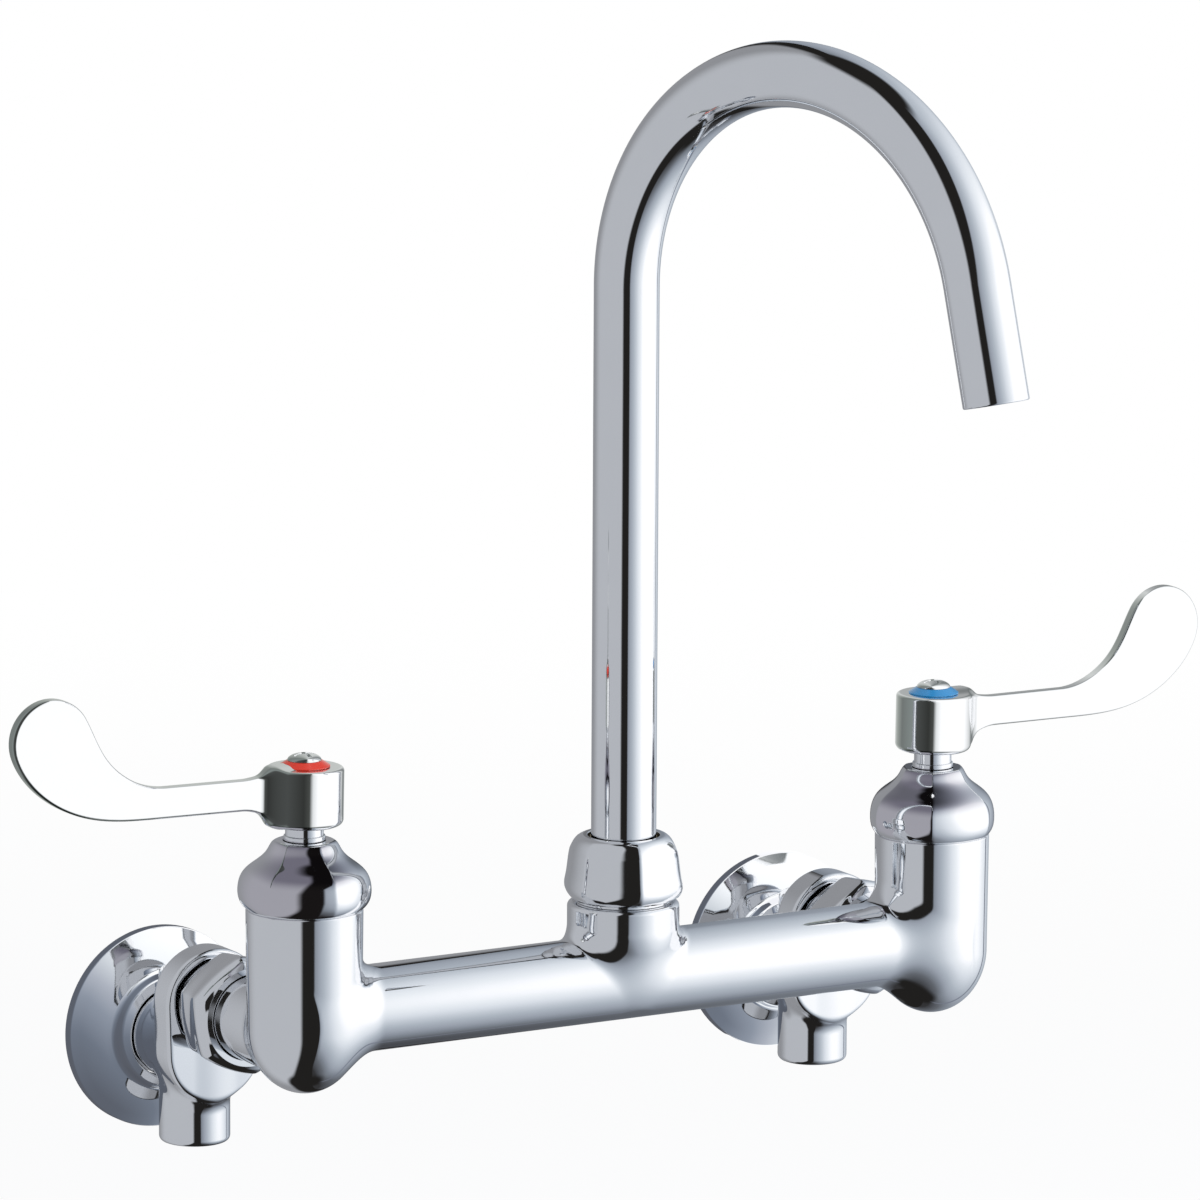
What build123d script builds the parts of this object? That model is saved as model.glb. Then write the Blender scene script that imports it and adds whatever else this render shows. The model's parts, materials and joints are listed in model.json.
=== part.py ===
from build123d import *
import os
from math import cos, radians, sin

os.makedirs("parts", exist_ok=True)

# Wall faucet with two valves joined by a bridge, a swinging gooseneck spout and wrist-blade handles.
# Millimetres. Origin on the wall, midway between the two supply inlets: X along the bridge with the
# cold side positive, Y into the wall, Z up.

# Layout
inlet_centres = 203.2
wall_to_body = 87.0
arm_offset = 13.5
bridge_rise = 6.5
running_gap = 0.04
loose_gap = 0.3
thread_gap = 0.2
edge_match = 0.01

# Bridge body
bridge_radius = 12.0
bridge_root_fillet = 6.0
barrel_radius = 16.2
barrel_taper = 0.3
barrel_rise = 30.4
barrel_straight_drop = 3.0
dome_depth = 18.5
boss_radius = 15.7
boss_rise = 21.6
boss_edge = 1.4
boss_root_radius = 7.0
boss_root_drop = 8.0
boss_straight_from = 6.5
boss_fillet = 5.0
neck_radius = 13.0
neck_rise = 33.0
shank_radius = 12.0
shank_length = 37.0
shank_mouth_radius = 6.5
shank_mouth_depth = 12.0
inlet_waterway_radius = 5.0
inlet_waterway_drop = 3.5
waterway_radius = 5.5
waterway_lift = 4.5
boss_waterway_radius = 6.0
chamber_radius = 8.0
chamber_drop = 17.0
port_radius = 4.5
seat_thickness = 2.5
seat_drop = 2.0
cartridge_bore_radius = 11.0

# Quarter-turn cartridge
cage_radius = 9.8
cage_bore_radius = 8.6
cage_ledge_height = 12.0
cage_height = 16.0
cage_thread_radius = 10.7
window_base = 8.0
window_width = 8.0
seal_radius = 8.4
seal_bore_radius = 5.0
seal_thickness = 2.0
fixed_disc_radius = 8.5
moving_disc_radius = 8.3
disc_thickness = 3.0
disc_hole_radius = 2.2
disc_hole_pitch = 4.6
drive_thickness = 3.2
drive_width = 7.0
cartridge_flange_radius = 13.8
cartridge_flange_thickness = 2.6
cartridge_neck_radius = 8.0
cartridge_neck_rise = 12.0

# Stem
stem_radius = 5.5
spline_radius = 4.2
spline_length = 12.0
stem_ring_radius = 6.05
stem_ring_height = 1.6
o_ring_section = 0.74
o_ring_squeeze_gap = 0.02
groove_clearance = 0.1
stem_o_ring_drop = 9.0

# Bonnet: half widths over the flats and their heights above the barrel rim
bonnet_height = 18.5
bonnet_foot_radius = 15.3
bonnet_bulge_radius = 17.25
bonnet_bulge_rise = 5.3
bonnet_shoulder_radius = 15.15
bonnet_shoulder_rise = 10.9
bonnet_throat_radius = 10.3
bonnet_throat_rise = 15.4
bonnet_top_radius = 7.0
bonnet_corner_factor = 1.05
bonnet_foot_bore = 14.4
bonnet_foot_bore_rise = 3.6
bonnet_middle_bore = 11.8
bonnet_middle_bore_rise = 8.0
bonnet_upper_bore = 8.8
bonnet_upper_bore_rise = 13.2
bonnet_hole_gap = 0.35
hot_corner_angle = -128.7
cold_corner_angle = -118.5

# Handle
hub_gap = 2.7
hub_radius = 10.6
hub_height = 18.2
hub_edge = 1.2
hub_foot_edge = 2.0
blade_thickness = 3.8
blade_edge = 0.8
blade_root_width = 7.4
blade_root_reach = 14.5
neck_foot = 8.2
neck_height = 8.6
neck_reach = 43.0
paddle_radius = 11.8
paddle_reach = 77.8
paddle_rise = 31.7
paddle_start_angle = 150.0
paddle_end_angle = -20.0
waist_reach = 60.8
waist_rise = 25.4
heel_reach = 78.6
heel_rise = 15.2
heel_lead_reach = 66.0
heel_lead_rise = 9.6
screw_shank_radius = 2.0
screw_length = 14.0
screw_head_radius = 4.7
screw_head_rise = 2.0
screw_slot_width = 1.0
screw_slot_depth = 0.9
screw_slot_length = 6.4
tapped_depth = 8.0
index_radius = 7.1
index_top_radius = 4.9
index_rise = 1.7
index_hole_radius = 2.4

# Spout
spout_radius = 9.1
spout_wall = 1.4
spout_foot_rise = 12.0
spout_straight_rise = 195.3
spout_bend_radius = 65.2
spout_bend_angle = 166.9
spout_end_length = 32.3
spout_turn = 16.2
spout_edge = 0.5

# Spout swivel
socket_radius = 11.3
socket_floor_rise = 10.0
bushing_gap = 0.05
bushing_flange_radius = 12.6
bushing_flange_thickness = 2.4
friction_washer_thickness = 0.8
friction_washer_inset = 0.3
spout_o_ring_section = 0.8
spout_o_ring_low_rise = 17.0
spout_o_ring_pitch = 9.0
spout_nut_gap = 1.0
spout_nut_length = 16.9
spout_nut_foot_radius = 14.2
spout_nut_bulge_radius = 15.55
spout_nut_bulge_rise = 3.3
spout_nut_shoulder_radius = 14.6
spout_nut_shoulder_rise = 11.4
spout_nut_throat_radius = 12.6
spout_nut_throat_rise = 15.0
spout_nut_top_radius = 10.4
spout_nut_corner_factor = 1.04
spout_nut_corner_angle = 12.0
spout_nut_lip = 3.0
spout_nut_lip_gap = 0.4

# Supply arm
arm_face_setback = 36.0
arm_slab_depth = 11.0
arm_head_radius = 15.0
arm_foot_radius = 13.8
arm_edge = 1.0
stop_setback = 23.3
stub_radius = 10.0
stub_drop = 28.5
stub_rise = 21.0
stub_edge = 1.6
inlet_tube_radius = 12.7
inlet_recess = 2.0
inlet_thread_radius = 9.3
inlet_thread_depth = 13.0
arm_waterway_radius = 6.0
tail_flange_radius = 11.7
tail_flange_thickness = 3.0
tail_radius = 9.2

# Coupling between the supply arm and the bridge body
coupling_washer_thickness = 2.0
coupling_washer_bore = 6.8
coupling_nut_length = 19.5
coupling_nut_face_gap = 1.5
coupling_nut_foot_radius = 14.0
coupling_nut_bulge_radius = 15.5
coupling_nut_bulge_rise = 3.6
coupling_nut_shoulder_radius = 14.4
coupling_nut_shoulder_rise = 13.0
coupling_nut_throat_radius = 12.7
coupling_nut_throat_rise = 17.6
coupling_nut_top_radius = 11.4
coupling_nut_corner_factor = 1.05
coupling_nut_corner_angle = 15.0

# Screwdriver stop in the foot of each supply arm
stop_bore_radius = 7.8
stop_seat_rise = 5.0
stop_seat_radius = 4.6
stop_travel = 4.0
stop_washer_radius = 6.6
stop_washer_thickness = 3.0
stop_washer_hole = 1.8
stop_flange_radius = 6.4
stop_flange_thickness = 2.0
stop_nub_radius = 1.5
stop_nub_sink = 0.6
stop_stem_radius = 3.6
stop_stem_recess = 1.4
stop_o_ring_drop = 20.0
gland_length = 20.0
gland_recess = 1.0
driver_slot_width = 1.4
driver_slot_depth = 2.0

# Wall flange
flange_radius = 29.5
flange_rim_depth = 4.4
flange_shoulder_inset = 0.9
flange_shoulder_depth = 5.3
flange_face_depth = 6.6
flange_rim_wall = 1.8
flange_shell = 1.7
collar_foot_radius = 16.6
collar_radius = 15.8
collar_side_depth = 8.4
collar_lip_radius = 14.0
collar_depth = 11.0

# Derived places
half_centres = inlet_centres / 2
coupling_z = arm_offset
bridge_z = coupling_z + bridge_rise
body_y = -wall_to_body
barrel_foot_radius = barrel_radius - barrel_taper
rim_z = bridge_z + barrel_rise
seat_z = bridge_z - seat_drop
fixed_disc_z = seat_z + seal_thickness
moving_disc_z = fixed_disc_z + disc_thickness
drive_z = moving_disc_z + disc_thickness
bonnet_top_z = rim_z + bonnet_height
hub_foot_z = bonnet_top_z + hub_gap
hub_top_z = hub_foot_z + hub_height
spline_top_z = hub_foot_z + spline_length
screw_seat_z = hub_top_z + index_rise
shank_end = wall_to_body - shank_length
tail_end = shank_end - coupling_washer_thickness
neck_top_z = bridge_z + neck_rise
bushing_flange_z = neck_top_z + friction_washer_thickness
bushing_top_z = bushing_flange_z + bushing_flange_thickness
spout_foot_z = bridge_z + spout_foot_rise
spout_nut_z = bridge_z + boss_rise + spout_nut_gap
stop_y = -stop_setback
gland_foot_z = -stub_drop + gland_recess
stop_foot_z = gland_foot_z + stop_stem_recess
stop_washer_top_z = stop_seat_rise - stop_travel
stop_washer_z = stop_washer_top_z - stop_washer_thickness
stop_flange_z = stop_washer_z - stop_flange_thickness
sides = {"hot": (-1, hot_corner_angle), "cold": (1, cold_corner_angle)}


# Sketches here read (distance from an upright axis, height); the heading turns them about that axis
def upright(x, y, z=0, heading=(1, 0)):
    return Plane(origin=(x, y, z), x_dir=(*heading, 0), z_dir=(heading[1], -heading[0], 0))


# Sketches here read (distance from a level axis, distance out from the wall)
def outward(x, z):
    return Plane(origin=(x, 0, z), x_dir=(1, 0, 0), z_dir=(0, 0, -1))


# A solid of revolution about the plane's own second axis
def turned(plane, corners, mode=Mode.ADD):
    with BuildSketch(plane) as profile:
        with BuildLine():
            Polyline(corners, close=True)
        make_face()
    revolve(profile.sketch, axis=Axis(plane.origin, plane.y_dir), mode=mode)


# A plain ring, or a rod where the inner radius is nothing
def rod(plane, inner, outer, low, high, mode=Mode.ADD):
    turned(plane, [(inner, low), (outer, low), (outer, high), (inner, high)], mode)


# A round-section ring
def o_ring(plane, centre_radius, section, height, mode=Mode.ADD):
    with BuildSketch(plane) as profile:
        with Locations((centre_radius, height)):
            Circle(section)
    revolve(profile.sketch, axis=Axis(plane.origin, plane.y_dir), mode=mode)


# Half of a nut's outline, from its foot on the axis round to its top on the axis
def nut_outline(stations, factor=1.0):
    knots = [(radius * factor, height) for radius, height in stations]
    with BuildLine() as outline:
        Line((0, knots[0][1]), knots[0])
        Spline(knots, tangents=((0.9, 1.0), (-0.8, 0.6)))
        Line(knots[-1], (0, knots[-1][1]))
        Line((0, knots[-1][1]), (0, knots[0][1]))
    make_face(outline.edges())


# A softly six-sided nut: the flats take their outline across, the corners stop at a turned outline
def six_sided(plane, stations, corner_factor, corner_angle):
    with BuildSketch(plane) as turned_outline:
        nut_outline(stations, corner_factor)
    revolve(turned_outline.sketch, axis=Axis(plane.origin, plane.y_dir))
    for turn in (0, 60, 120):
        heading = radians(corner_angle + turn)
        across = plane.x_dir * cos(heading) + plane.z_dir * sin(heading)
        flats_plane = Plane(plane.origin, x_dir=across, z_dir=across.cross(plane.y_dir))
        with BuildSketch(flats_plane) as flats_outline:
            nut_outline(stations)
            mirror(about=Plane.YZ)
        extrude(flats_outline.sketch, amount=2 * stations[1][0], both=True, mode=Mode.INTERSECT)


def save(builder, name):
    builder.part.label = name
    export_step(builder.part, "parts/" + name + ".step")


# Bridge body: two barrels, the bridge between them, the spout boss and the two rear shanks
with BuildPart() as bridge_body:
    with BuildSketch(Plane(origin=(-half_centres, body_y, bridge_z), x_dir=(0, 1, 0), z_dir=(1, 0, 0))):
        Circle(bridge_radius)
    extrude(amount=inlet_centres)
    for side, _ in sides.values():
        barrel_plane = upright(side * half_centres, body_y, heading=(side, 0))
        dome_z = bridge_z - barrel_straight_drop
        with BuildSketch(barrel_plane):
            with BuildLine():
                Line((0, rim_z), (barrel_radius, rim_z))
                Line((barrel_radius, rim_z), (barrel_foot_radius, dome_z))
                EllipticalCenterArc(
                    (0, dome_z), barrel_foot_radius, dome_depth, start_angle=0, arc_size=-90
                )
                Line((0, dome_z - dome_depth), (0, rim_z))
            make_face()
        revolve(axis=Axis(barrel_plane.origin, barrel_plane.y_dir))
    turned(
        upright(0, body_y, bridge_z, heading=(0, -1)),
        [
            (0, -boss_root_drop),
            (boss_root_radius, -boss_root_drop),
            (boss_radius, boss_straight_from),
            (boss_radius, boss_rise),
            (0, boss_rise),
        ],
    )
    bridge_roots = bridge_body.edges().filter_by(
        lambda edge: barrel_radius / 2 < half_centres - abs(edge.center().X) < barrel_radius
        and edge.center().Z < bridge_z + bridge_radius + 1
        and abs(edge.center().Y - body_y) < bridge_radius + 1
        and edge.geom_type == GeomType.BSPLINE
    )
    fillet(bridge_roots, bridge_root_fillet)
    boss_roots = bridge_body.edges().filter_by(
        lambda edge: abs(edge.center().X) < boss_radius + 1
        and bridge_z < edge.center().Z < bridge_z + bridge_radius + 1
        and edge.geom_type == GeomType.BSPLINE
    )
    fillet(boss_roots, boss_fillet)
    rod(upright(0, body_y), 0, neck_radius, bridge_z, neck_top_z)
    for side, _ in sides.values():
        rod(outward(side * half_centres, coupling_z), 0, shank_radius, shank_end, wall_to_body)
    boss_rim = bridge_body.edges().filter_by(
        lambda edge: abs(edge.center().Z - bridge_z - boss_rise) < edge_match
        and abs(edge.radius - boss_radius) < edge_match
        if edge.geom_type == GeomType.CIRCLE
        else False
    )
    fillet(boss_rim, boss_edge)
    for side, _ in sides.values():
        barrel_plane = upright(side * half_centres, body_y, bridge_z, (side, 0))
        port_drop = seat_drop + seat_thickness
        rod(barrel_plane, 0, chamber_radius, -chamber_drop, -port_drop, Mode.SUBTRACT)
        rod(barrel_plane, 0, port_radius, -port_drop, -seat_drop, Mode.SUBTRACT)
        rod(barrel_plane, 0, cartridge_bore_radius, -seat_drop, barrel_rise, Mode.SUBTRACT)
        inlet_plane = outward(side * half_centres, coupling_z - inlet_waterway_drop)
        rod(inlet_plane, 0, inlet_waterway_radius, shank_end, wall_to_body, Mode.SUBTRACT)
        mouth_plane = outward(side * half_centres, coupling_z)
        mouth_end = shank_end + shank_mouth_depth
        rod(mouth_plane, 0, shank_mouth_radius, shank_end, mouth_end, Mode.SUBTRACT)
    waterway_plane = Plane(
        origin=(-half_centres, body_y, bridge_z + waterway_lift), x_dir=(0, 1, 0), z_dir=(1, 0, 0)
    )
    with BuildSketch(waterway_plane):
        Circle(waterway_radius)
    extrude(amount=inlet_centres, mode=Mode.SUBTRACT)
    boss_plane = upright(0, body_y, bridge_z)
    rod(boss_plane, 0, boss_waterway_radius, waterway_lift, socket_floor_rise, Mode.SUBTRACT)
    rod(boss_plane, 0, socket_radius, socket_floor_rise, neck_rise, Mode.SUBTRACT)
save(bridge_body, "bridge_body")

# Spout: one round tube, bent over at the top and cut off square at its outlet
spout_heading = (sin(radians(spout_turn)), -cos(radians(spout_turn)))
spout_plane = upright(0, body_y, bridge_z, spout_heading)
with BuildPart() as spout_tube:
    with BuildLine(spout_plane) as spout_path:
        riser = Line((0, spout_foot_rise), (0, spout_straight_rise))
        bend = CenterArc(
            (spout_bend_radius, spout_straight_rise), spout_bend_radius, 180, -spout_bend_angle
        )
        Line(bend @ 1, (bend @ 1) + (bend % 1) * spout_end_length)
    with BuildSketch(Plane(origin=(0, body_y, spout_foot_z), x_dir=(1, 0, 0), z_dir=(0, 0, 1))):
        Circle(spout_radius)
        Circle(spout_radius - spout_wall, mode=Mode.SUBTRACT)
    sweep(path=spout_path.wires()[0])
    outlet = spout_path.wires()[0] @ 1
    outlet_rims = spout_tube.edges().filter_by(GeomType.CIRCLE).filter_by(
        lambda edge: (edge.arc_center - outlet).length < edge_match
    )
    fillet(outlet_rims, spout_edge)
save(spout_tube, "spout_tube")

# Bushing fixed round the foot of the spout, turning in the boss
with BuildPart() as spout_bushing:
    bushing_plane = upright(0, body_y)
    bushing_radius = socket_radius - bushing_gap
    rod(bushing_plane, spout_radius, bushing_radius, spout_foot_z, bushing_flange_z)
    rod(bushing_plane, spout_radius, bushing_flange_radius, bushing_flange_z, bushing_top_z)
    spout_o_ring_radius = bushing_radius - o_ring_squeeze_gap - spout_o_ring_section
    groove_floor = spout_o_ring_radius - spout_o_ring_section
    groove_half = spout_o_ring_section + groove_clearance
    spout_o_ring_heights = [
        bridge_z + spout_o_ring_low_rise,
        bridge_z + spout_o_ring_low_rise + spout_o_ring_pitch,
    ]
    for height in spout_o_ring_heights:
        low, high = height - groove_half, height + groove_half
        rod(bushing_plane, groove_floor, bushing_radius, low, high, Mode.SUBTRACT)
save(spout_bushing, "spout_bushing")

with BuildPart() as spout_o_rings:
    for height in spout_o_ring_heights:
        o_ring(bushing_plane, spout_o_ring_radius, spout_o_ring_section, height)
save(spout_o_rings, "spout_o_rings")

# Friction washer between the neck and the bushing's flange
with BuildPart() as spout_washer:
    washer_plane = upright(0, body_y)
    washer_bore = socket_radius + friction_washer_inset
    rod(washer_plane, washer_bore, neck_radius, neck_top_z, bushing_flange_z)
save(spout_washer, "spout_washer")

# Spout nut, screwed on the neck and holding the bushing's flange down
with BuildPart() as spout_nut:
    nut_plane = upright(0, body_y, spout_nut_z)
    six_sided(
        nut_plane,
        [
            (spout_nut_foot_radius, 0),
            (spout_nut_bulge_radius, spout_nut_bulge_rise),
            (spout_nut_shoulder_radius, spout_nut_shoulder_rise),
            (spout_nut_throat_radius, spout_nut_throat_rise),
            (spout_nut_top_radius, spout_nut_length),
        ],
        spout_nut_corner_factor,
        spout_nut_corner_angle,
    )
    thread_top = spout_nut_length - spout_nut_lip
    rod(nut_plane, 0, neck_radius + thread_gap, 0, thread_top, Mode.SUBTRACT)
    lip_bore = spout_radius + spout_nut_lip_gap
    rod(nut_plane, 0, lip_bore, thread_top, spout_nut_length, Mode.SUBTRACT)
save(spout_nut, "spout_nut")

for name, (side, corner_angle) in sides.items():
    valve_x = side * half_centres
    valve_plane = upright(valve_x, body_y, 0, (side, 0))

    # Ceramic cartridge: a body screwed into the barrel, a seal, and two discs, one fixed, one turning
    with BuildPart() as cartridge_body:
        cage_ledge_z = seat_z + cage_ledge_height
        cage_top_z = seat_z + cage_height
        stem_bore = stem_radius + running_gap
        flange_top_z = rim_z + cartridge_flange_thickness
        neck_top = rim_z + cartridge_neck_rise
        rod(valve_plane, cage_bore_radius, cage_radius, seat_z, cage_ledge_z)
        rod(valve_plane, stem_bore, cage_radius, cage_ledge_z, cage_top_z)
        rod(valve_plane, stem_bore, cage_thread_radius, cage_top_z, rim_z)
        rod(valve_plane, stem_bore, cartridge_flange_radius, rim_z, flange_top_z)
        rod(valve_plane, stem_bore, cartridge_neck_radius, flange_top_z, neck_top)
        with BuildSketch(Plane.XY.offset(seat_z + window_base)):
            with Locations((valve_x, body_y)):
                Rectangle(2 * cage_thread_radius, window_width)
                Rectangle(window_width, 2 * cage_thread_radius)
        extrude(amount=cage_ledge_height - window_base, mode=Mode.SUBTRACT)
    save(cartridge_body, name + "_cartridge_body")

    with BuildPart() as seat_seal:
        rod(valve_plane, seal_bore_radius, seal_radius, seat_z, fixed_disc_z)
    save(seat_seal, name + "_seat_seal")

    with BuildPart() as fixed_disc:
        with BuildSketch(Plane.XY.offset(fixed_disc_z)):
            with Locations((valve_x, body_y)):
                Circle(fixed_disc_radius)
            with Locations((valve_x - disc_hole_pitch, body_y), (valve_x + disc_hole_pitch, body_y)):
                Circle(disc_hole_radius, mode=Mode.SUBTRACT)
        extrude(amount=disc_thickness)
    save(fixed_disc, name + "_fixed_disc")

    with BuildPart() as moving_disc:
        with BuildSketch(Plane.XY.offset(moving_disc_z)):
            with Locations((valve_x, body_y)):
                Circle(moving_disc_radius)
            with Locations((valve_x, body_y - disc_hole_pitch), (valve_x, body_y + disc_hole_pitch)):
                Circle(disc_hole_radius, mode=Mode.SUBTRACT)
        extrude(amount=disc_thickness)
    save(moving_disc, name + "_moving_disc")

    # Stem: a cross bar on the turning disc, a round shaft with a ring groove, and a spline in the hub
    with BuildPart() as stem:
        with BuildSketch(Plane.XY.offset(drive_z)):
            with Locations((valve_x, body_y)):
                Circle(moving_disc_radius)
                Rectangle(2 * moving_disc_radius, drive_width, mode=Mode.INTERSECT)
        extrude(amount=drive_thickness)
        shaft_foot_z = drive_z + drive_thickness
        rod(valve_plane, 0, stem_radius, shaft_foot_z, hub_foot_z)
        rod(valve_plane, 0, spline_radius, hub_foot_z, spline_top_z)
        tapped_floor_z = spline_top_z - tapped_depth
        tapped_radius = screw_shank_radius + running_gap
        rod(valve_plane, 0, tapped_radius, tapped_floor_z, spline_top_z, Mode.SUBTRACT)
        stem_o_ring_z = rim_z - stem_o_ring_drop
        stem_o_ring_radius = stem_bore - o_ring_squeeze_gap - o_ring_section
        groove_half = o_ring_section + groove_clearance
        rod(
            valve_plane,
            stem_o_ring_radius - o_ring_section,
            stem_radius,
            stem_o_ring_z - groove_half,
            stem_o_ring_z + groove_half,
            Mode.SUBTRACT,
        )
    save(stem, name + "_stem")

    with BuildPart() as stem_o_ring:
        o_ring(valve_plane, stem_o_ring_radius, o_ring_section, stem_o_ring_z)
    save(stem_o_ring, name + "_stem_o_ring")

    with BuildPart() as stem_ring:
        rod(valve_plane, stem_bore, stem_ring_radius, bonnet_top_z, bonnet_top_z + stem_ring_height)
    save(stem_ring, name + "_stem_ring")

    # Bonnet: a six-sided bell over the cartridge
    with BuildPart() as bonnet:
        bonnet_plane = upright(valve_x, body_y, rim_z)
        six_sided(
            bonnet_plane,
            [
                (bonnet_foot_radius, 0),
                (bonnet_bulge_radius, bonnet_bulge_rise),
                (bonnet_shoulder_radius, bonnet_shoulder_rise),
                (bonnet_throat_radius, bonnet_throat_rise),
                (bonnet_top_radius, bonnet_height),
            ],
            bonnet_corner_factor,
            corner_angle,
        )
        foot_rise, middle_rise = bonnet_foot_bore_rise, bonnet_middle_bore_rise
        rod(bonnet_plane, 0, bonnet_foot_bore, 0, foot_rise, Mode.SUBTRACT)
        rod(bonnet_plane, 0, bonnet_middle_bore, foot_rise, middle_rise, Mode.SUBTRACT)
        upper_rise = bonnet_upper_bore_rise
        rod(bonnet_plane, 0, bonnet_upper_bore, middle_rise, upper_rise, Mode.SUBTRACT)
        bonnet_hole = stem_radius + bonnet_hole_gap
        rod(bonnet_plane, 0, bonnet_hole, upper_rise, bonnet_height, Mode.SUBTRACT)
    save(bonnet, name + "_bonnet")

    # Handle: a round hub with a flat blade whose paddle sweeps upward
    with BuildPart() as handle:
        with BuildSketch(upright(valve_x, body_y, hub_foot_z, (side, 0))):
            with BuildLine():
                paddle_start, paddle_end = (
                    (
                        paddle_reach + paddle_radius * cos(radians(angle)),
                        paddle_rise + paddle_radius * sin(radians(angle)),
                    )
                    for angle in (paddle_start_angle, paddle_end_angle)
                )
                start_way = (sin(radians(paddle_start_angle)), -cos(radians(paddle_start_angle)))
                end_way = (sin(radians(paddle_end_angle)), -cos(radians(paddle_end_angle)))
                Line((0, neck_foot), (0, neck_foot + neck_height))
                Line((0, neck_foot + neck_height), (neck_reach, neck_foot + neck_height))
                Spline(
                    (neck_reach, neck_foot + neck_height),
                    (waist_reach, waist_rise),
                    paddle_start,
                    tangents=((1, 0), start_way),
                )
                CenterArc(
                    (paddle_reach, paddle_rise),
                    paddle_radius,
                    paddle_start_angle,
                    paddle_end_angle - paddle_start_angle,
                )
                Spline(
                    paddle_end,
                    (heel_reach, heel_rise),
                    (heel_lead_reach, heel_lead_rise),
                    (neck_reach, neck_foot),
                    tangents=(end_way, (-1, 0)),
                )
                Line((neck_reach, neck_foot), (0, neck_foot))
            make_face()
        extrude(amount=blade_thickness / 2, both=True)
        blade_rims = handle.edges().filter_by(
            lambda edge: abs(abs(edge.center().Y - body_y) - blade_thickness / 2) < edge_match
            and abs(edge.center().X - valve_x) > hub_radius
        )
        fillet(blade_rims, blade_edge)
        with BuildSketch(Plane.XY.offset(hub_foot_z + neck_foot)):
            with BuildLine():
                tip_x = valve_x + side * blade_root_reach
                Polyline(
                    (valve_x, body_y - blade_root_width / 2),
                    (tip_x, body_y - blade_thickness / 2 + blade_edge),
                    (tip_x, body_y + blade_thickness / 2 - blade_edge),
                    (valve_x, body_y + blade_root_width / 2),
                    close=True,
                )
            make_face()
        extrude(amount=neck_height)
        rod(valve_plane, 0, hub_radius, hub_foot_z, hub_top_z)
        hub_rims = handle.edges().filter_by(GeomType.CIRCLE)
        fillet(hub_rims.filter_by_position(Axis.Z, hub_top_z - edge_match, hub_top_z + edge_match), hub_edge)
        hub_rims = handle.edges().filter_by(GeomType.CIRCLE)
        fillet(
            hub_rims.filter_by_position(Axis.Z, hub_foot_z - edge_match, hub_foot_z + edge_match),
            hub_foot_edge,
        )
        spline_bore = spline_radius + running_gap
        spline_bore_top = spline_top_z + loose_gap
        rod(valve_plane, 0, spline_bore, hub_foot_z, spline_bore_top, Mode.SUBTRACT)
        rod(valve_plane, 0, index_hole_radius, spline_bore_top, hub_top_z, Mode.SUBTRACT)
    save(handle, name + "_handle")

    # Coloured index ring and the screw that holds it and the handle
    with BuildPart() as index_ring:
        turned(
            valve_plane,
            [
                (index_hole_radius, hub_top_z),
                (index_radius, hub_top_z),
                (index_top_radius, screw_seat_z),
                (index_hole_radius, screw_seat_z),
            ],
        )
    save(index_ring, name + "_index_ring")

    with BuildPart() as handle_screw:
        with BuildSketch(valve_plane):
            with BuildLine():
                screw_top_z = screw_seat_z + screw_head_rise
                screw_foot_z = screw_seat_z - screw_length
                Line((0, screw_foot_z), (screw_shank_radius, screw_foot_z))
                Line((screw_shank_radius, screw_foot_z), (screw_shank_radius, screw_seat_z))
                Line((screw_shank_radius, screw_seat_z), (screw_head_radius, screw_seat_z))
                EllipticalCenterArc(
                    (0, screw_seat_z), screw_head_radius, screw_head_rise, start_angle=0, arc_size=90
                )
                Line((0, screw_top_z), (0, screw_foot_z))
            make_face()
        revolve(axis=Axis(valve_plane.origin, valve_plane.y_dir))
        with BuildSketch(Plane.XY.offset(screw_top_z - screw_slot_depth)):
            with Locations((valve_x, body_y)):
                Rectangle(screw_slot_length, screw_slot_width)
                Rectangle(screw_slot_width, screw_slot_length)
        extrude(amount=screw_head_rise, mode=Mode.SUBTRACT)
    save(handle_screw, name + "_handle_screw")

    # Supply arm: inlet tube, stop housing, flat-faced link and the flanged tail of the coupling
    with BuildPart() as supply_arm:
        with BuildSketch(upright(valve_x, -arm_face_setback)):
            with Locations((0, coupling_z)):
                Circle(arm_head_radius)
            Circle(arm_foot_radius)
            make_hull()
        extrude(amount=-arm_slab_depth)
        slab_rims = supply_arm.edges().filter_by(
            lambda edge: abs(edge.center().Y + arm_face_setback) < edge_match
        )
        fillet(slab_rims, arm_edge)
        stub_plane = upright(valve_x, stop_y, 0, (0, 1))
        rod(stub_plane, 0, stub_radius, -stub_drop, stub_rise)
        stub_foot = supply_arm.edges().filter_by(GeomType.CIRCLE).filter_by(
            lambda edge: abs(edge.center().Z + stub_drop) < edge_match
        )
        fillet(stub_foot, stub_edge)
        inlet_plane = outward(valve_x, 0)
        rod(inlet_plane, 0, inlet_tube_radius, inlet_recess, stop_setback)
        tail_plane = outward(valve_x, coupling_z)
        flange_start = tail_end - tail_flange_thickness
        rod(tail_plane, 0, tail_radius, stop_setback, flange_start)
        rod(tail_plane, 0, tail_flange_radius, flange_start, tail_end)
        thread_end = inlet_recess + inlet_thread_depth
        rod(inlet_plane, 0, inlet_thread_radius, inlet_recess, thread_end, Mode.SUBTRACT)
        rod(inlet_plane, 0, arm_waterway_radius, thread_end, stop_setback, Mode.SUBTRACT)
        rod(tail_plane, 0, arm_waterway_radius, stop_setback, tail_end, Mode.SUBTRACT)
        rod(stub_plane, 0, stop_bore_radius, -stub_drop, stop_seat_rise, Mode.SUBTRACT)
        rod(stub_plane, 0, stop_seat_radius, stop_seat_rise, coupling_z, Mode.SUBTRACT)
    save(supply_arm, name + "_supply_arm")

    with BuildPart() as coupling_washer:
        rod(tail_plane, coupling_washer_bore, tail_flange_radius, tail_end, shank_end)
    save(coupling_washer, name + "_coupling_washer")

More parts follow.
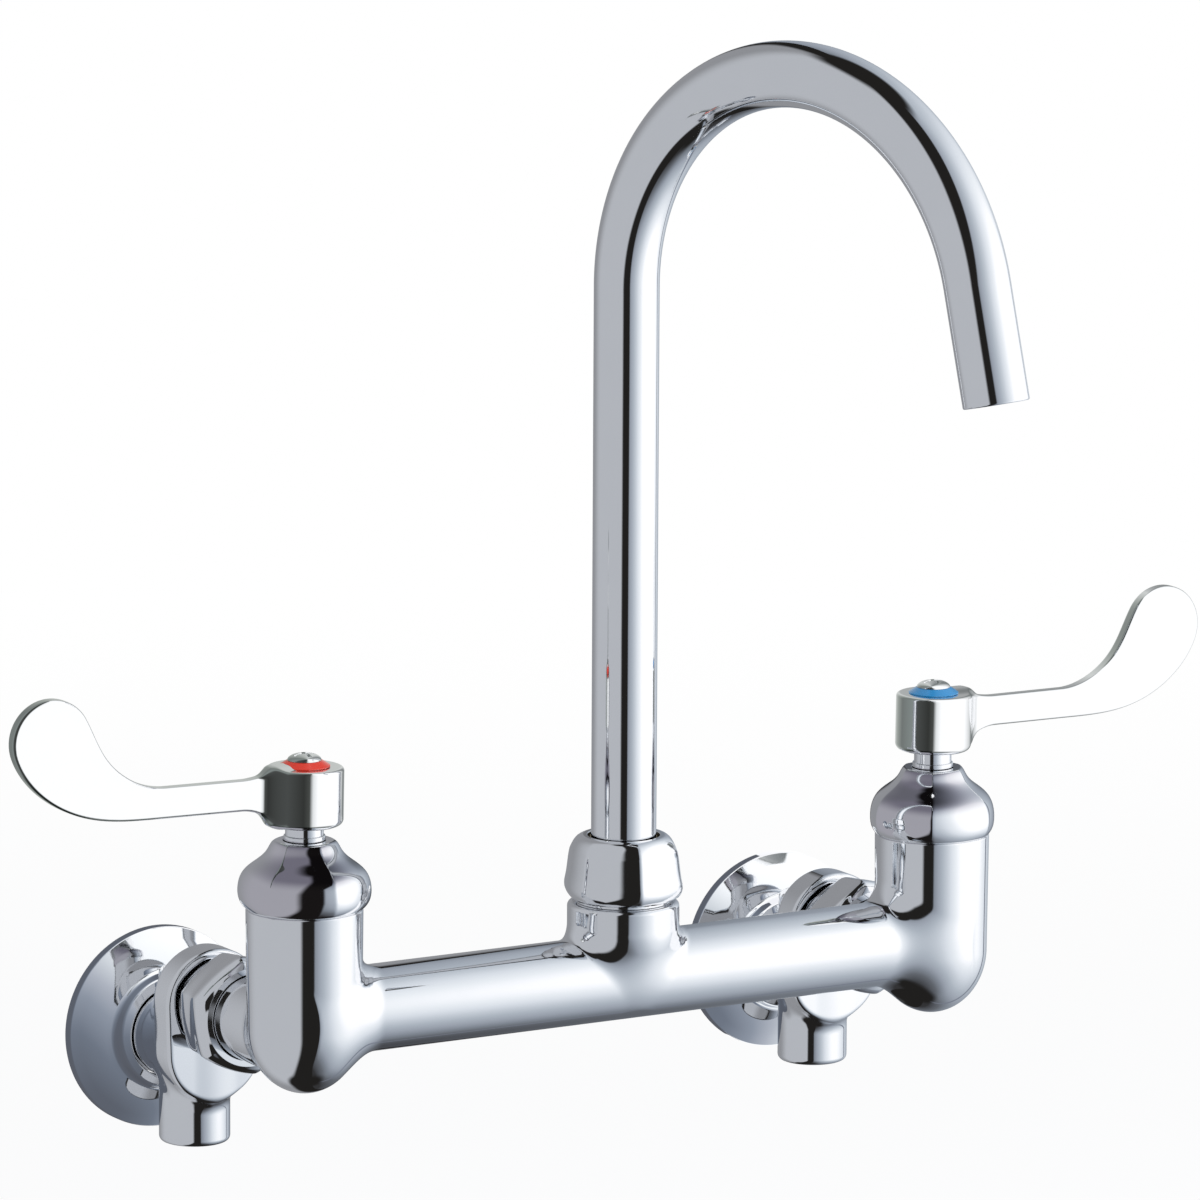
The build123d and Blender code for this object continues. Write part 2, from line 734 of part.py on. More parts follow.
    # Coupling nut over the tail's flange, screwed on the shank
    with BuildPart() as coupling_nut:
        nut_back = arm_face_setback + coupling_nut_face_gap
        nut_foot = nut_back + coupling_nut_length
        coupling_plane = Plane(origin=(valve_x, -nut_foot, coupling_z), x_dir=(1, 0, 0), z_dir=(0, 0, 1))
        six_sided(
            coupling_plane,
            [
                (coupling_nut_foot_radius, 0),
                (coupling_nut_bulge_radius, coupling_nut_bulge_rise),
                (coupling_nut_shoulder_radius, coupling_nut_shoulder_rise),
                (coupling_nut_throat_radius, coupling_nut_throat_rise),
                (coupling_nut_top_radius, coupling_nut_length),
            ],
            coupling_nut_corner_factor,
            coupling_nut_corner_angle,
        )
        thread_length = nut_foot - flange_start + thread_gap
        rod(coupling_plane, 0, shank_radius + thread_gap, 0, thread_length, Mode.SUBTRACT)
        lip_bore = tail_radius + loose_gap
        rod(coupling_plane, 0, lip_bore, thread_length, coupling_nut_length, Mode.SUBTRACT)
    save(coupling_nut, name + "_coupling_nut")

    # Stop: a screwed spindle carries a washer up to its seat
    with BuildPart() as stop_gland:
        gland_top_z = gland_foot_z + gland_length
        gland_bore = stop_stem_radius + running_gap
        rod(stub_plane, gland_bore, stop_bore_radius - thread_gap, gland_foot_z, gland_top_z)
    save(stop_gland, name + "_stop_gland")

    with BuildPart() as stop_stem:
        rod(stub_plane, 0, stop_stem_radius, stop_foot_z, stop_flange_z)
        rod(stub_plane, 0, stop_flange_radius, stop_flange_z, stop_washer_z)
        rod(stub_plane, 0, stop_nub_radius, stop_washer_z, stop_washer_top_z - stop_nub_sink)
        stop_o_ring_radius = gland_bore - o_ring_squeeze_gap - o_ring_section
        rod(
            stub_plane,
            stop_o_ring_radius - o_ring_section,
            stop_stem_radius,
            -stop_o_ring_drop - groove_half,
            -stop_o_ring_drop + groove_half,
            Mode.SUBTRACT,
        )
        with BuildSketch(Plane.XY.offset(stop_foot_z)):
            with Locations((valve_x, stop_y)):
                Rectangle(2 * stub_radius, driver_slot_width)
        extrude(amount=driver_slot_depth, mode=Mode.SUBTRACT)
    save(stop_stem, name + "_stop_stem")

    with BuildPart() as stop_o_ring:
        o_ring(stub_plane, stop_o_ring_radius, o_ring_section, -stop_o_ring_drop)
    save(stop_o_ring, name + "_stop_o_ring")

    with BuildPart() as stop_washer:
        rod(stub_plane, stop_washer_hole, stop_washer_radius, stop_washer_z, stop_washer_top_z)
    save(stop_washer, name + "_stop_washer")

    # Wall flange: a hollow dish that slides on the inlet tube and covers the wall opening
    with BuildPart() as wall_flange:
        flange_bore = inlet_tube_radius + loose_gap
        shoulder_radius = flange_radius - flange_shoulder_inset
        with BuildSketch(inlet_plane):
            with BuildLine():
                Line((flange_bore, 0), (flange_radius, 0))
                Line((flange_radius, 0), (flange_radius, flange_rim_depth))
                Spline(
                    (flange_radius, flange_rim_depth),
                    (shoulder_radius, flange_shoulder_depth),
                    (collar_foot_radius, flange_face_depth),
                    tangents=((0, 1), (-1, 0)),
                )
                Spline(
                    (collar_foot_radius, flange_face_depth),
                    (collar_radius, collar_side_depth),
                    (collar_lip_radius, collar_depth),
                    tangents=((-0.5, 1), (-1, 0.3)),
                )
                Line((collar_lip_radius, collar_depth), (flange_bore, collar_depth))
                Line((flange_bore, collar_depth), (flange_bore, 0))
            make_face()
        revolve(axis=Axis(inlet_plane.origin, inlet_plane.y_dir))
        cavity_radius = flange_radius - flange_rim_wall
        cavity_depth = flange_shoulder_depth - flange_shell
        rod(inlet_plane, 0, cavity_radius, 0, cavity_depth, Mode.SUBTRACT)
    save(wall_flange, name + "_wall_flange")
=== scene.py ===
import json
import bpy
import numpy as np
from mathutils import Matrix, Vector
from types import SimpleNamespace as Form


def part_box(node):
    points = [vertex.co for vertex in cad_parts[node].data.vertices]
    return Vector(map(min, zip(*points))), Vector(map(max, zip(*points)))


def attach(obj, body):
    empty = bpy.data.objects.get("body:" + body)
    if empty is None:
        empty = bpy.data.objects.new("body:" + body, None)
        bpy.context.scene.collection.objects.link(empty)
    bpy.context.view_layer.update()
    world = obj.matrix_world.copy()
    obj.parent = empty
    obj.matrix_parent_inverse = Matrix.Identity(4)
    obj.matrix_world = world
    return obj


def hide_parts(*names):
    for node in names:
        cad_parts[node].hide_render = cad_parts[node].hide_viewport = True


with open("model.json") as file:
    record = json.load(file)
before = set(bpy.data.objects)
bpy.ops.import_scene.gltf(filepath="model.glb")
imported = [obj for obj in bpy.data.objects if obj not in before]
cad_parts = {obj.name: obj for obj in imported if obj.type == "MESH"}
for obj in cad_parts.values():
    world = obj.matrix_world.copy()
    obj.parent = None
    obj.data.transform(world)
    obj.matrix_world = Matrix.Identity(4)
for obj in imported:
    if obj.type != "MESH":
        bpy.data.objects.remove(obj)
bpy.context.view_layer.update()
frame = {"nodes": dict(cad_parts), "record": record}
mm = 0.001  # everything below is in millimetres until a mesh is made
print("frame loaded:", len(frame["nodes"]), "nodes")


# Lowest and highest corner of a node, in millimetres
def nodeBox(name):
    low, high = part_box(name)
    return np.array(low) / mm, np.array(high) / mm


# Axes and heights that the pieces share, read from the frame; the washers' radii lead to their axes
bonnetRise, couplingRadius, stopRadius = 30.4, 11.7, 6.6
bonnetLow, bonnetHigh = nodeBox("cold_bonnet")
place = {
    "valveX": (bonnetLow[0] + bonnetHigh[0]) / 2,
    "bodyY": (bonnetLow[1] + bonnetHigh[1]) / 2,
    "rimZ": bonnetLow[2],
    "hubFootZ": nodeBox("cold_handle")[0][2],
    "nutFootZ": nodeBox("spout_nut")[0][2],
    "bridgeZ": bonnetLow[2] - bonnetRise,
    "couplingZ": nodeBox("cold_coupling_washer")[0][2] + couplingRadius,
    "stopY": nodeBox("cold_stop_washer")[0][1] + stopRadius,
}
print("places:", {key: round(float(value), 3) for key, value in place.items()})
place = Form(**place)


# Keeps the vertices that faces use, makes triangles of the quads at a pole, and makes a smooth object
def makeObject(name, points, normals, quads):
    first = quads[:, 0] == quads[:, 1]
    last = quads[:, 2] == quads[:, 3]
    used, index = np.unique(quads, return_inverse=True)
    quads = index.reshape(-1, 4)
    faces = (
        quads[~first & ~last].tolist()
        + quads[first][:, [0, 2, 3]].tolist()
        + quads[last & ~first][:, [0, 1, 2]].tolist()
    )
    mesh = bpy.data.meshes.new(name)
    mesh.from_pydata((points[used] * mm).tolist(), [], faces)
    mesh.shade_smooth()
    mesh.normals_split_custom_set_from_vertices(normals[used].tolist())
    piece = bpy.data.objects.new(name, mesh)
    bpy.context.scene.collection.objects.link(piece)
    return piece


# Quads between neighbouring rings; rings close on themselves, and the rows too where asked
def ringQuads(index, closeRows=False):
    low = index if closeRows else index[:-1]
    high = np.roll(index, -1, 0) if closeRows else index[1:]
    return np.stack([low, np.roll(low, -1, 1), np.roll(high, -1, 1), high], -1).reshape(-1, 4)


# A profile is rows of (radius, height, outward normal's two parts), walked with the material on its left.
# Here it is straight lines, each corner (radius, height, rounding) replaced by a tangent arc
def rounded(corners, steps=7, closed=False):
    rows = []
    count = len(corners)
    for k in range(count):
        here = np.array(corners[k][:2], float)
        before = np.array(corners[k - 1][:2], float)
        after = np.array(corners[(k + 1) % count][:2], float)
        way = [here - before, after - here]
        if not closed and k == 0:
            way[0] = way[1]
        if not closed and k == count - 1:
            way[1] = way[0]
        way = [w / np.linalg.norm(w) for w in way]
        start, end = [np.array([w[1], -w[0]]) for w in way]
        turn = np.arctan2(way[0][0] * way[1][1] - way[0][1] * way[1][0], way[0] @ way[1])
        size = corners[k][2]
        if abs(turn) < 1e-6:
            rows.append([*here, *start])
            continue
        angle = np.arctan2(start[1], start[0]) + np.linspace(0, turn, steps)
        normal = wayAt(angle)
        side = np.sign(turn)
        centre = here - side * size * (start + end) / (1 + start @ end)
        rows.extend(np.hstack([centre + side * size * normal, normal]))
    return np.array(rows)


# A blind bore's last corners, from its rim down to the pole of its floor
def boreCorners(radius, rim, floor, edge=0.3):
    return [(radius, rim, edge), (radius, floor, 0.3), (0, floor, 0)]


# A smooth curve through knots: cubic pieces whose curvature runs on, with given directions at both ends
def curveThrough(knots, startWay, endWay, count):
    knots = np.array(knots, float)
    gap = np.linalg.norm(np.diff(knots, axis=0), axis=1)
    t = np.concatenate([[0], np.cumsum(gap)])
    size = len(knots)
    system, right = np.zeros((size, size)), np.zeros((size, 2))
    for k in range(1, size - 1):
        system[k, k - 1 : k + 2] = gap[k], 2 * (gap[k - 1] + gap[k]), gap[k - 1]
        right[k] = 3 * (
            gap[k] * (knots[k] - knots[k - 1]) / gap[k - 1] + gap[k - 1] * (knots[k + 1] - knots[k]) / gap[k]
        )
    system[0, 0] = system[-1, -1] = 1
    right[0] = np.array(startWay) / np.linalg.norm(startWay)
    right[-1] = np.array(endWay) / np.linalg.norm(endWay)
    slope = np.linalg.solve(system, right)
    s = np.linspace(0, t[-1], count)
    k = np.clip(np.searchsorted(t, s, side="right") - 1, 0, size - 2)
    h = gap[k][:, None]
    u = (s[:, None] - t[k][:, None]) / h
    a, b, ma, mb = knots[k], knots[k + 1], slope[k] * h, slope[k + 1] * h
    point = (
        (2 * u**3 - 3 * u**2 + 1) * a + (u**3 - 2 * u**2 + u) * ma
        + (3 * u**2 - 2 * u**3) * b + (u**3 - u**2) * mb
    )
    way = (6 * u**2 - 6 * u) * (a - b) + (3 * u**2 - 4 * u + 1) * ma + (3 * u**2 - 2 * u) * mb
    way /= np.linalg.norm(way, axis=1, keepdims=True)
    return np.hstack([point, way[:, 1:], -way[:, :1]])


def fullTurn(count):
    return np.linspace(0, 2 * np.pi, count, endpoint=False)


# The direction at an angle, as its two parts
def wayAt(angle):
    return np.stack([np.cos(angle), np.sin(angle)], -1)


# Turns a profile about an axis: centre + along*height + radius*scale*(across cos + beside sin), where scale is
# 1 + facets*(outline(angle) - 1)
def turned(name, profile, centre, along=(0, 0, 1), angles=128, facets=None, outline=None):
    angle = fullTurn(angles)
    radius, height, outRadial, outAlong = [column[:, None] for column in profile.T]
    amount = np.zeros_like(radius) if facets is None else facets[:, None]
    grown, slope = np.ones_like(angle)[None], np.zeros_like(angle)[None]
    if outline is not None:
        step = 1e-4
        grown = outline(angle)[None]
        slope = (outline(angle + step) - outline(angle - step))[None] / (2 * step)
    scale = 1 + amount * (grown - 1)
    run = np.concatenate([[0], np.cumsum(np.hypot(*np.diff(profile[:, :2], axis=0).T) + 1e-9)])
    fade = np.gradient(amount[:, 0], run)[:, None]
    alongRadial, alongHeight = -outAlong, outRadial
    perRow = alongRadial * scale + radius * fade * (grown - 1)
    perTurn = radius * amount * slope
    far = radius * scale
    c, s = np.cos(angle), np.sin(angle)
    turnWay = np.stack([perTurn * c - far * s, perTurn * s + far * c, np.zeros_like(far)], -1)
    rowWay = np.stack([perRow * c, perRow * s, alongHeight * np.ones_like(perRow)], -1)
    pole = radius[:, 0] < 1e-9
    turnWay[pole] = np.stack([-s, c, 0 * s], -1)
    normal = np.cross(turnWay, rowWay)
    normal /= np.linalg.norm(normal, axis=-1, keepdims=True)
    local = np.stack([far * c, far * s, height * np.ones_like(far)], -1)
    basis = basisAlong(along)
    index = np.arange(far.size).reshape(far.shape)
    index[pole] = index[pole][:, :1]
    points = (local @ basis + np.array(centre)).reshape(-1, 3)
    return makeObject(name, points, (normal @ basis).reshape(-1, 3), ringQuads(index, not pole.any()))


# The circles of a profile about the upright axis and their outward normals
def circles(profile, angle):
    c, s = np.cos(angle), np.sin(angle)
    radius, height, outRadial, outAlong = [column[:, None] for column in profile.T]
    level = np.zeros_like(angle)
    return (
        np.stack([radius * c, radius * s, height + level], -1),
        np.stack([outRadial * c, outRadial * s, outAlong + level], -1),
    )


# Numbers for stacked circles; a first or last circle that is a pole takes one vertex
def ringIndex(points):
    index = np.arange(points[..., 0].size).reshape(points.shape[:2])
    index[0], index[-1] = index[0, 0], index[-1, 0]
    return index


# Rows are across, beside and along, a right-handed set
def basisAlong(along):
    along = np.array(along, float)
    across = np.array([1.0, 0, 0])
    beside = np.cross(along, across)
    return np.stack([across, beside, along])


# Six flats round a circle: 1/cos within a flat, eased where they meet at the corners
def sixSided(turn, ease):
    def outline(angle):
        local = (angle - np.radians(turn) + np.pi / 6) % (np.pi / 3) - np.pi / 6
        return smoothMin(1 / np.cos(local), 1.15, ease)

    return outline


def smoothMin(a, b, ease):
    h = np.clip(0.5 + 0.5 * (b - a) / ease, 0, 1)
    return b * (1 - h) + a * h - ease * h * (1 - h)


# Distance formulas are negative inside
def length(*parts):
    return np.sqrt(sum(part**2 for part in parts))


# Joins two shapes with a round fillet
def joined(a, b, fillet):
    near = length(np.maximum(fillet - a, 0), np.maximum(fillet - b, 0))
    return np.maximum(fillet, np.minimum(a, b)) - near


# Keeps what both shapes share, with the edge between them rounded
def shared(a, b, edge):
    return np.minimum(-edge, np.maximum(a, b)) + length(np.maximum(edge + a, 0), np.maximum(edge + b, 0))


def gradient(distance, points, step=0.02):
    parts = []
    for axis in range(3):
        shift = np.zeros(3)
        shift[axis] = step
        parts.append(distance(points + shift) - distance(points - shift))
    return np.stack(parts, -1) / (2 * step)


# The zero surface of a distance formula: a vertex in each grid cell that it crosses, at the mean of the edges'
# crossings, then moved by -distance*slope/slope^2 onto the surface, and a quad for each crossed grid edge
def skin(distance, low, high, step, normalStep=0.02):
    low, high = np.array(low, float), np.array(high, float)
    counts = np.round((high - low) / step).astype(int) + 1
    axes = [low[k] + step * np.arange(counts[k]) for k in range(3)]
    grid = np.stack(np.meshgrid(*axes, indexing="ij"), -1)
    value = distance(grid)
    cells = tuple(counts - 1)
    total, number = np.zeros(cells + (3,)), np.zeros(cells, int)
    crossings = []
    for axis in range(3):
        before = (slice(None),) * axis + (slice(None, -1),)
        after = (slice(None),) * axis + (slice(1, None),)
        a, b = value[before], value[after]
        crossed = (a < 0) != (b < 0)
        share = np.where(crossed, a / np.where(crossed, a - b, 1), 0)
        point = grid[before].copy()
        point[..., axis] += share * step
        others = [k for k in range(3) if k != axis]
        for moves in ((0, 0), (0, 1), (1, 0), (1, 1)):
            part = [slice(None)] * 3
            for k, move in zip(others, moves):
                part[k] = slice(move, counts[k] - 1 + move)
            part = tuple(part)
            total += np.where(crossed[part][..., None], point[part], 0)
            number += crossed[part]
        crossings.append((crossed, a < 0, others))
    full = number > 0
    index = np.full(cells, -1)
    index[full] = np.arange(full.sum())
    points = total[full] / number[full][:, None]
    quads = []
    for axis, (crossed, inside, others) in enumerate(crossings):
        inner = [slice(None)] * 3
        for k in others:
            inner[k] = slice(1, -1)
        where = np.argwhere(crossed[tuple(inner)])
        for k in others:
            where[:, k] += 1
        corners = []
        for moves in ((-1, -1), (0, -1), (0, 0), (-1, 0)):
            cell = where.copy()
            for k, move in zip(others, moves):
                cell[:, k] += move
            corners.append(index[tuple(cell.T)])
        quad = np.stack(corners, -1)
        flip = inside[tuple(where.T)] != (axis != 1)
        quad[flip] = quad[flip][:, ::-1]
        quads.append(quad)
    quads = np.concatenate(quads)
    for _ in range(3):
        slope = gradient(distance, points)
        points = points - distance(points)[:, None] * slope / np.maximum((slope**2).sum(-1), 0.05)[:, None]
    normals = gradient(distance, points, normalStep)
    normals /= np.linalg.norm(normals, axis=-1, keepdims=True)
    return points, normals, quads


# Carries a cut-off neck on from its open rim: the rim's vertices go onto the profile's first circle, and the
# further rows are turned about the neck's axis at the same angles
def carryOn(surface, centre, along, profile):
    points, normals, quads = surface
    centre, basis = np.array(centre, float), basisAlong(along)
    edges = np.concatenate([quads[:, [k, (k + 1) % 4]] for k in range(4)])
    keys = np.sort(edges, axis=1)
    unique, counts = np.unique(keys[:, 0] * len(points) + keys[:, 1], return_counts=True)
    once = unique[counts == 1]
    rim = np.unique(np.concatenate([once // len(points), once % len(points)]))
    local = (points[rim] - centre) @ basis.T
    rimHeight, rimWidth = 1.5, 2.0  # how far from the first circle a rim's vertex may be
    near = (abs(local[:, 2]) < rimHeight) & (np.hypot(local[:, 0], local[:, 1]) < profile[0, 0] + rimWidth)
    rim, local = rim[near], local[near]
    angle = np.arctan2(local[:, 1], local[:, 0])
    order = np.argsort(angle)
    rim, angle = rim[order], angle[order]
    rings, outward = circles(profile, angle)
    rings, outward = rings @ basis + centre, outward @ basis
    points, normals = points.copy(), normals.copy()
    points[rim], normals[rim] = rings[0], outward[0]
    index = np.arange(rings[1:, :, 0].size).reshape(len(profile) - 1, -1) + len(points)
    pole = profile[1:, 0] < 1e-9
    index[pole] = index[pole][:, :1]
    index = np.vstack([rim[None], index])
    return (
        np.vstack([points, rings[1:].reshape(-1, 3)]),
        np.vstack([normals, outward[1:].reshape(-1, 3)]),
        np.vstack([quads, ringQuads(index)]),
    )


# A socket that does arithmetic: each operator adds a Math node
class Value:
    def __init__(self, tree, socket):
        self.tree, self.socket = tree, socket

    def math(self, operation, other=0.0, swap=False):
        first, second = (other, self) if swap else (self, other)
        return addNode(self.tree, "Math", {0: first, 1: second}, {"operation": operation})

    def __add__(self, other): return self.math("ADD", other)
    def __radd__(self, other): return self.math("ADD", other)
    def __sub__(self, other): return self.math("SUBTRACT", other)
    def __rsub__(self, other): return self.math("SUBTRACT", other, swap=True)
    def __mul__(self, other): return self.math("MULTIPLY", other)
    def __rmul__(self, other): return self.math("MULTIPLY", other)
    def __truediv__(self, other): return self.math("DIVIDE", other)
    def __abs__(self): return self.math("ABSOLUTE")
    def positive(self): return self.math("MAXIMUM")


# Adds a node: its settings first, a ramp's stops among them, then the values or links of its sockets
def addNode(tree, kind, inputs=None, settings=None, output=0):
    node = tree.nodes.new("ShaderNode" + kind)
    for key, value in (settings or {}).items():
        if key == "stops":
            ramp = node.color_ramp
            while len(ramp.elements) < len(value):
                ramp.elements.new(1.0)
            for element, (position, colour) in zip(ramp.elements, value):
                element.position, element.color = position, colour
        else:
            setattr(node, key, value)
    for key, value in (inputs or {}).items():
        if isinstance(value, Value):
            tree.links.new(value.socket, node.inputs[key])
        else:
            node.inputs[key].default_value = value
    return Value(tree, node.outputs[output])


# An empty node material, to be given its own surface shader
def newMaterial(name):
    material = bpy.data.materials.new(name)
    material.use_nodes = True
    tree = material.node_tree
    tree.nodes.clear()
    return material, tree


# Links the surface shader to a new output node
def finishTree(tree, shader, kind="Material"):
    out = tree.nodes.new("ShaderNodeOutput" + kind)
    tree.links.new(shader.socket, out.inputs["Surface"])


# Mixes two colours, or multiplies them, each a tuple or a Value
def mixColour(tree, factor, a, b, blend="MIX"):
    return addNode(tree, "Mix", {0: factor, 6: a, 7: b}, {"data_type": "RGBA", "blend_type": blend}, 2)


# The Object output of the Texture Coordinate node
def spotOf(tree):
    return addNode(tree, "TexCoord", output=3)


def noise(tree, spot, scale, detail):
    return addNode(tree, "TexNoise", {"Vector": spot, "Scale": scale, "Detail": detail})


def bump(tree, height, depth):
    return addNode(tree, "Bump", {"Strength": 1.0, "Distance": depth * mm, "Height": height})


chromeLook = dict(
    colour=(0.90, 0.91, 0.925, 1), cloud=(0.875, 0.885, 0.905, 1), roughness=(0.035, 0.06),
    cloudScale=90.0, fineScale=900.0, rippleScale=55.0, rippleHeight=0.02,
)


# Polished plating: a faint cloudiness in colour and gloss, and the slow ripple of a buffed casting
def chromeMaterial(name, look):
    material, tree = newMaterial(name)
    spot = spotOf(tree)
    cloud = noise(tree, spot, look["cloudScale"], 3.0)
    fine = noise(tree, spot, look["fineScale"], 2.0)
    ripple = noise(tree, spot, look["rippleScale"], 1.0)
    low, high = look["roughness"]
    finishTree(tree, addNode(tree, "BsdfPrincipled", {
        "Base Color": mixColour(tree, cloud, look["colour"], look["cloud"]),
        "Metallic": 1.0,
        "Roughness": low + (high - low) * (0.6 * cloud + 0.4 * fine),
        "Normal": bump(tree, ripple, look["rippleHeight"]),
    }))
    return material


grainLook = dict(scale=400.0, slowScale=50.0, height=0.01, coatRoughness=0.06)


# Any other finish: a colour that drifts to a second one, roughness between two values, and a fine grain
def plainMaterial(name, colour, drift, roughness, metallic=0.0, coat=0.0):
    material, tree = newMaterial(name)
    spot = spotOf(tree)
    grain, slow = noise(tree, spot, grainLook["scale"], 4.0), noise(tree, spot, grainLook["slowScale"], 2.0)
    low, high = roughness
    finishTree(tree, addNode(tree, "BsdfPrincipled", {
        "Base Color": mixColour(tree, slow, (*colour, 1), (*drift, 1)),
        "Metallic": metallic,
        "Roughness": low + (high - low) * grain,
        "Normal": bump(tree, grain, grainLook["height"]),
        "Coat Weight": coat,
        "Coat Roughness": grainLook["coatRoughness"],
    }))
    return material


slotLook = {
    "chrome": chromeMaterial("polished_chrome", chromeLook),
    "screw_chrome": chromeMaterial("screw_chrome", {**chromeLook, "roughness": (0.08, 0.14)}),
    "brass": plainMaterial("machined_brass", (0.78, 0.62, 0.34), (0.70, 0.53, 0.27), (0.22, 0.38), 1.0),
    "rubber": plainMaterial("matt_rubber", (0.028, 0.028, 0.03), (0.04, 0.04, 0.04), (0.6, 0.8)),
    "ceramic": plainMaterial("lapped_ceramic", (0.88, 0.86, 0.82), (0.92, 0.90, 0.86), (0.12, 0.2)),
    "white_plastic": plainMaterial("white_acetal", (0.86, 0.86, 0.84), (0.9, 0.9, 0.88), (0.35, 0.5)),
    "red_plastic": plainMaterial("red_index", (0.72, 0.045, 0.02), (0.66, 0.03, 0.018), (0.2, 0.3), 0.0, 0.6),
    "blue_plastic": plainMaterial("blue_index", (0.012, 0.235, 0.53), (0.01, 0.2, 0.47), (0.2, 0.3), 0.0, 0.6),
}
for row in frame["record"]["subparts"]:
    dressed = frame["nodes"][row["node"]].data
    dressed.materials.clear()
    dressed.materials.append(slotLook[row["material_slot"]])
print("materials made")


def finishPiece(piece, body, slot, *nodes):
    piece.data.materials.append(slotLook[slot])
    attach(piece, body)
    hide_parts(*nodes)
    return piece


# Bridge body: two domed barrels, the bridge, the spout boss and the rear shanks, in one casting.
# Heights here are above the bridge's axis, and depths behind the barrels' axes
bridge = dict(
    step=0.63,
    tube=12.0, barrelFoot=15.9, barrel=16.2, barrelStraight=-3.0, dome=18.5, rise=30.4,
    boss=15.7, bossRise=21.6, bossEdge=1.4, bossRoot=7.0, bossRootAt=-4.0, bossFrom=9.0,
    neck=13.0, neckRise=33.0, shank=12.0, shankDrop=6.5, shankEnd=37.0, mouth=6.5,
    rootFillet=6.0, bossFillet=5.0, coneFillet=3.0, shankFillet=2.5, cutRise=19.0,
    cutDepth=22.0, barrelBore=11.0, barrelFloor=-2.0, neckBore=11.3, neckFloor=10.0,
    mouthDepth=12.0, shade=0.9,
)


# Tube along X, upright barrels closed by half ellipsoids, a boss on a cone, level shanks, joined with fillets
def bridgeDistance(p):
    b = Form(**bridge)
    x, y, z = p[..., 0], p[..., 1], p[..., 2]
    half = place.valveX
    fromValve = abs(x) - half
    tube = np.maximum(length(y, z) - b.tube, fromValve)
    around = length(fromValve, y)
    below = z - b.barrelStraight
    grow = (b.barrel - b.barrelFoot) / (b.rise - b.barrelStraight)
    wall = around - b.barrelFoot - grow * np.maximum(below, 0)
    near = length(around / b.barrelFoot, below / b.dome)
    steep = length(around / b.barrelFoot ** 2, below / b.dome ** 2)
    dome = near * (near - 1) / np.maximum(steep, 1e-6)
    barrel = np.where(below > 0, wall, dome)
    slope = (b.boss - b.bossRoot) / (b.bossFrom - b.bossRootAt)
    out = length(x, y)
    cone = (out - b.bossRoot - slope * (z - b.bossRootAt)) / np.hypot(1, slope)
    boss = np.maximum(shared(out - b.boss, cone, b.coneFillet), b.bossRootAt - z)
    shank = np.maximum(length(fromValve, z + b.shankDrop) - b.shank, -y)
    body = joined(tube, barrel, b.rootFillet)
    body = joined(body, boss, b.bossFillet)
    return joined(body, shank, b.shankFillet)


def makeBridge():
    b = Form(**bridge)
    half, step = place.valveX, b.step
    reach = step * np.ceil((half + b.barrel + 1.5) / step)
    top = b.cutRise + step / 2
    back = b.cutDepth + step / 2
    foot = top - step * np.ceil((top + b.dome - b.barrelStraight + 1) / step)
    front = back - step * np.ceil((back + b.barrel + 1) / step)
    surface = skin(bridgeDistance, (-reach, front, foot), (reach, back, top), step, b.shade)
    grow = (b.barrel - b.barrelFoot) / (b.rise - b.barrelStraight)
    cut, behind = b.cutRise, b.cutDepth
    atCut = b.barrelFoot + grow * (cut - b.barrelStraight)
    rim, floor = b.rise - cut, b.barrelFloor - cut
    barrelTop = rounded([
        (atCut, 0, 0), (b.barrel, rim, 0.5), *boreCorners(b.barrelBore, rim, floor),
    ])
    shoulder, rim, floor = b.bossRise - cut, b.neckRise - cut, b.neckFloor - cut
    bossTop = rounded([
        (b.boss, 0, 0), (b.boss, shoulder, b.bossEdge), (b.neck, shoulder, 0.3), (b.neck, rim, 0.3),
        *boreCorners(b.neckBore, rim, floor, 0.2),
    ])
    rim, floor = b.shankEnd - behind, b.shankEnd - b.mouthDepth - behind
    shankBack = rounded([(b.shank, 0, 0), (b.shank, rim, 0.4), *boreCorners(b.mouth, rim, floor)])
    for side in (-1, 1):
        surface = carryOn(surface, (side * half, 0, cut), (0, 0, 1), barrelTop)
        surface = carryOn(surface, (side * half, behind, -b.shankDrop), (0, 1, 0), shankBack)
    points, normals, quads = carryOn(surface, (0, 0, cut), (0, 0, 1), bossTop)
    points = points + np.array([0, place.bodyY, place.bridgeZ])
    return makeObject("bridge_casting", points, normals, quads)


finishPiece(makeBridge(), "faucet", "chrome", "bridge_body")
print("bridge made")

# Spout: a round tube carried up, over and down; heights above the bridge's axis
spout = dict(
    radius=9.1, wall=1.4, foot=12.0, straight=195.3, bend=65.2, bendAngle=166.9,
    end=32.3, turn=16.2, edge=0.5, back=3.0, rows=(24, 150, 8), angles=128,
)


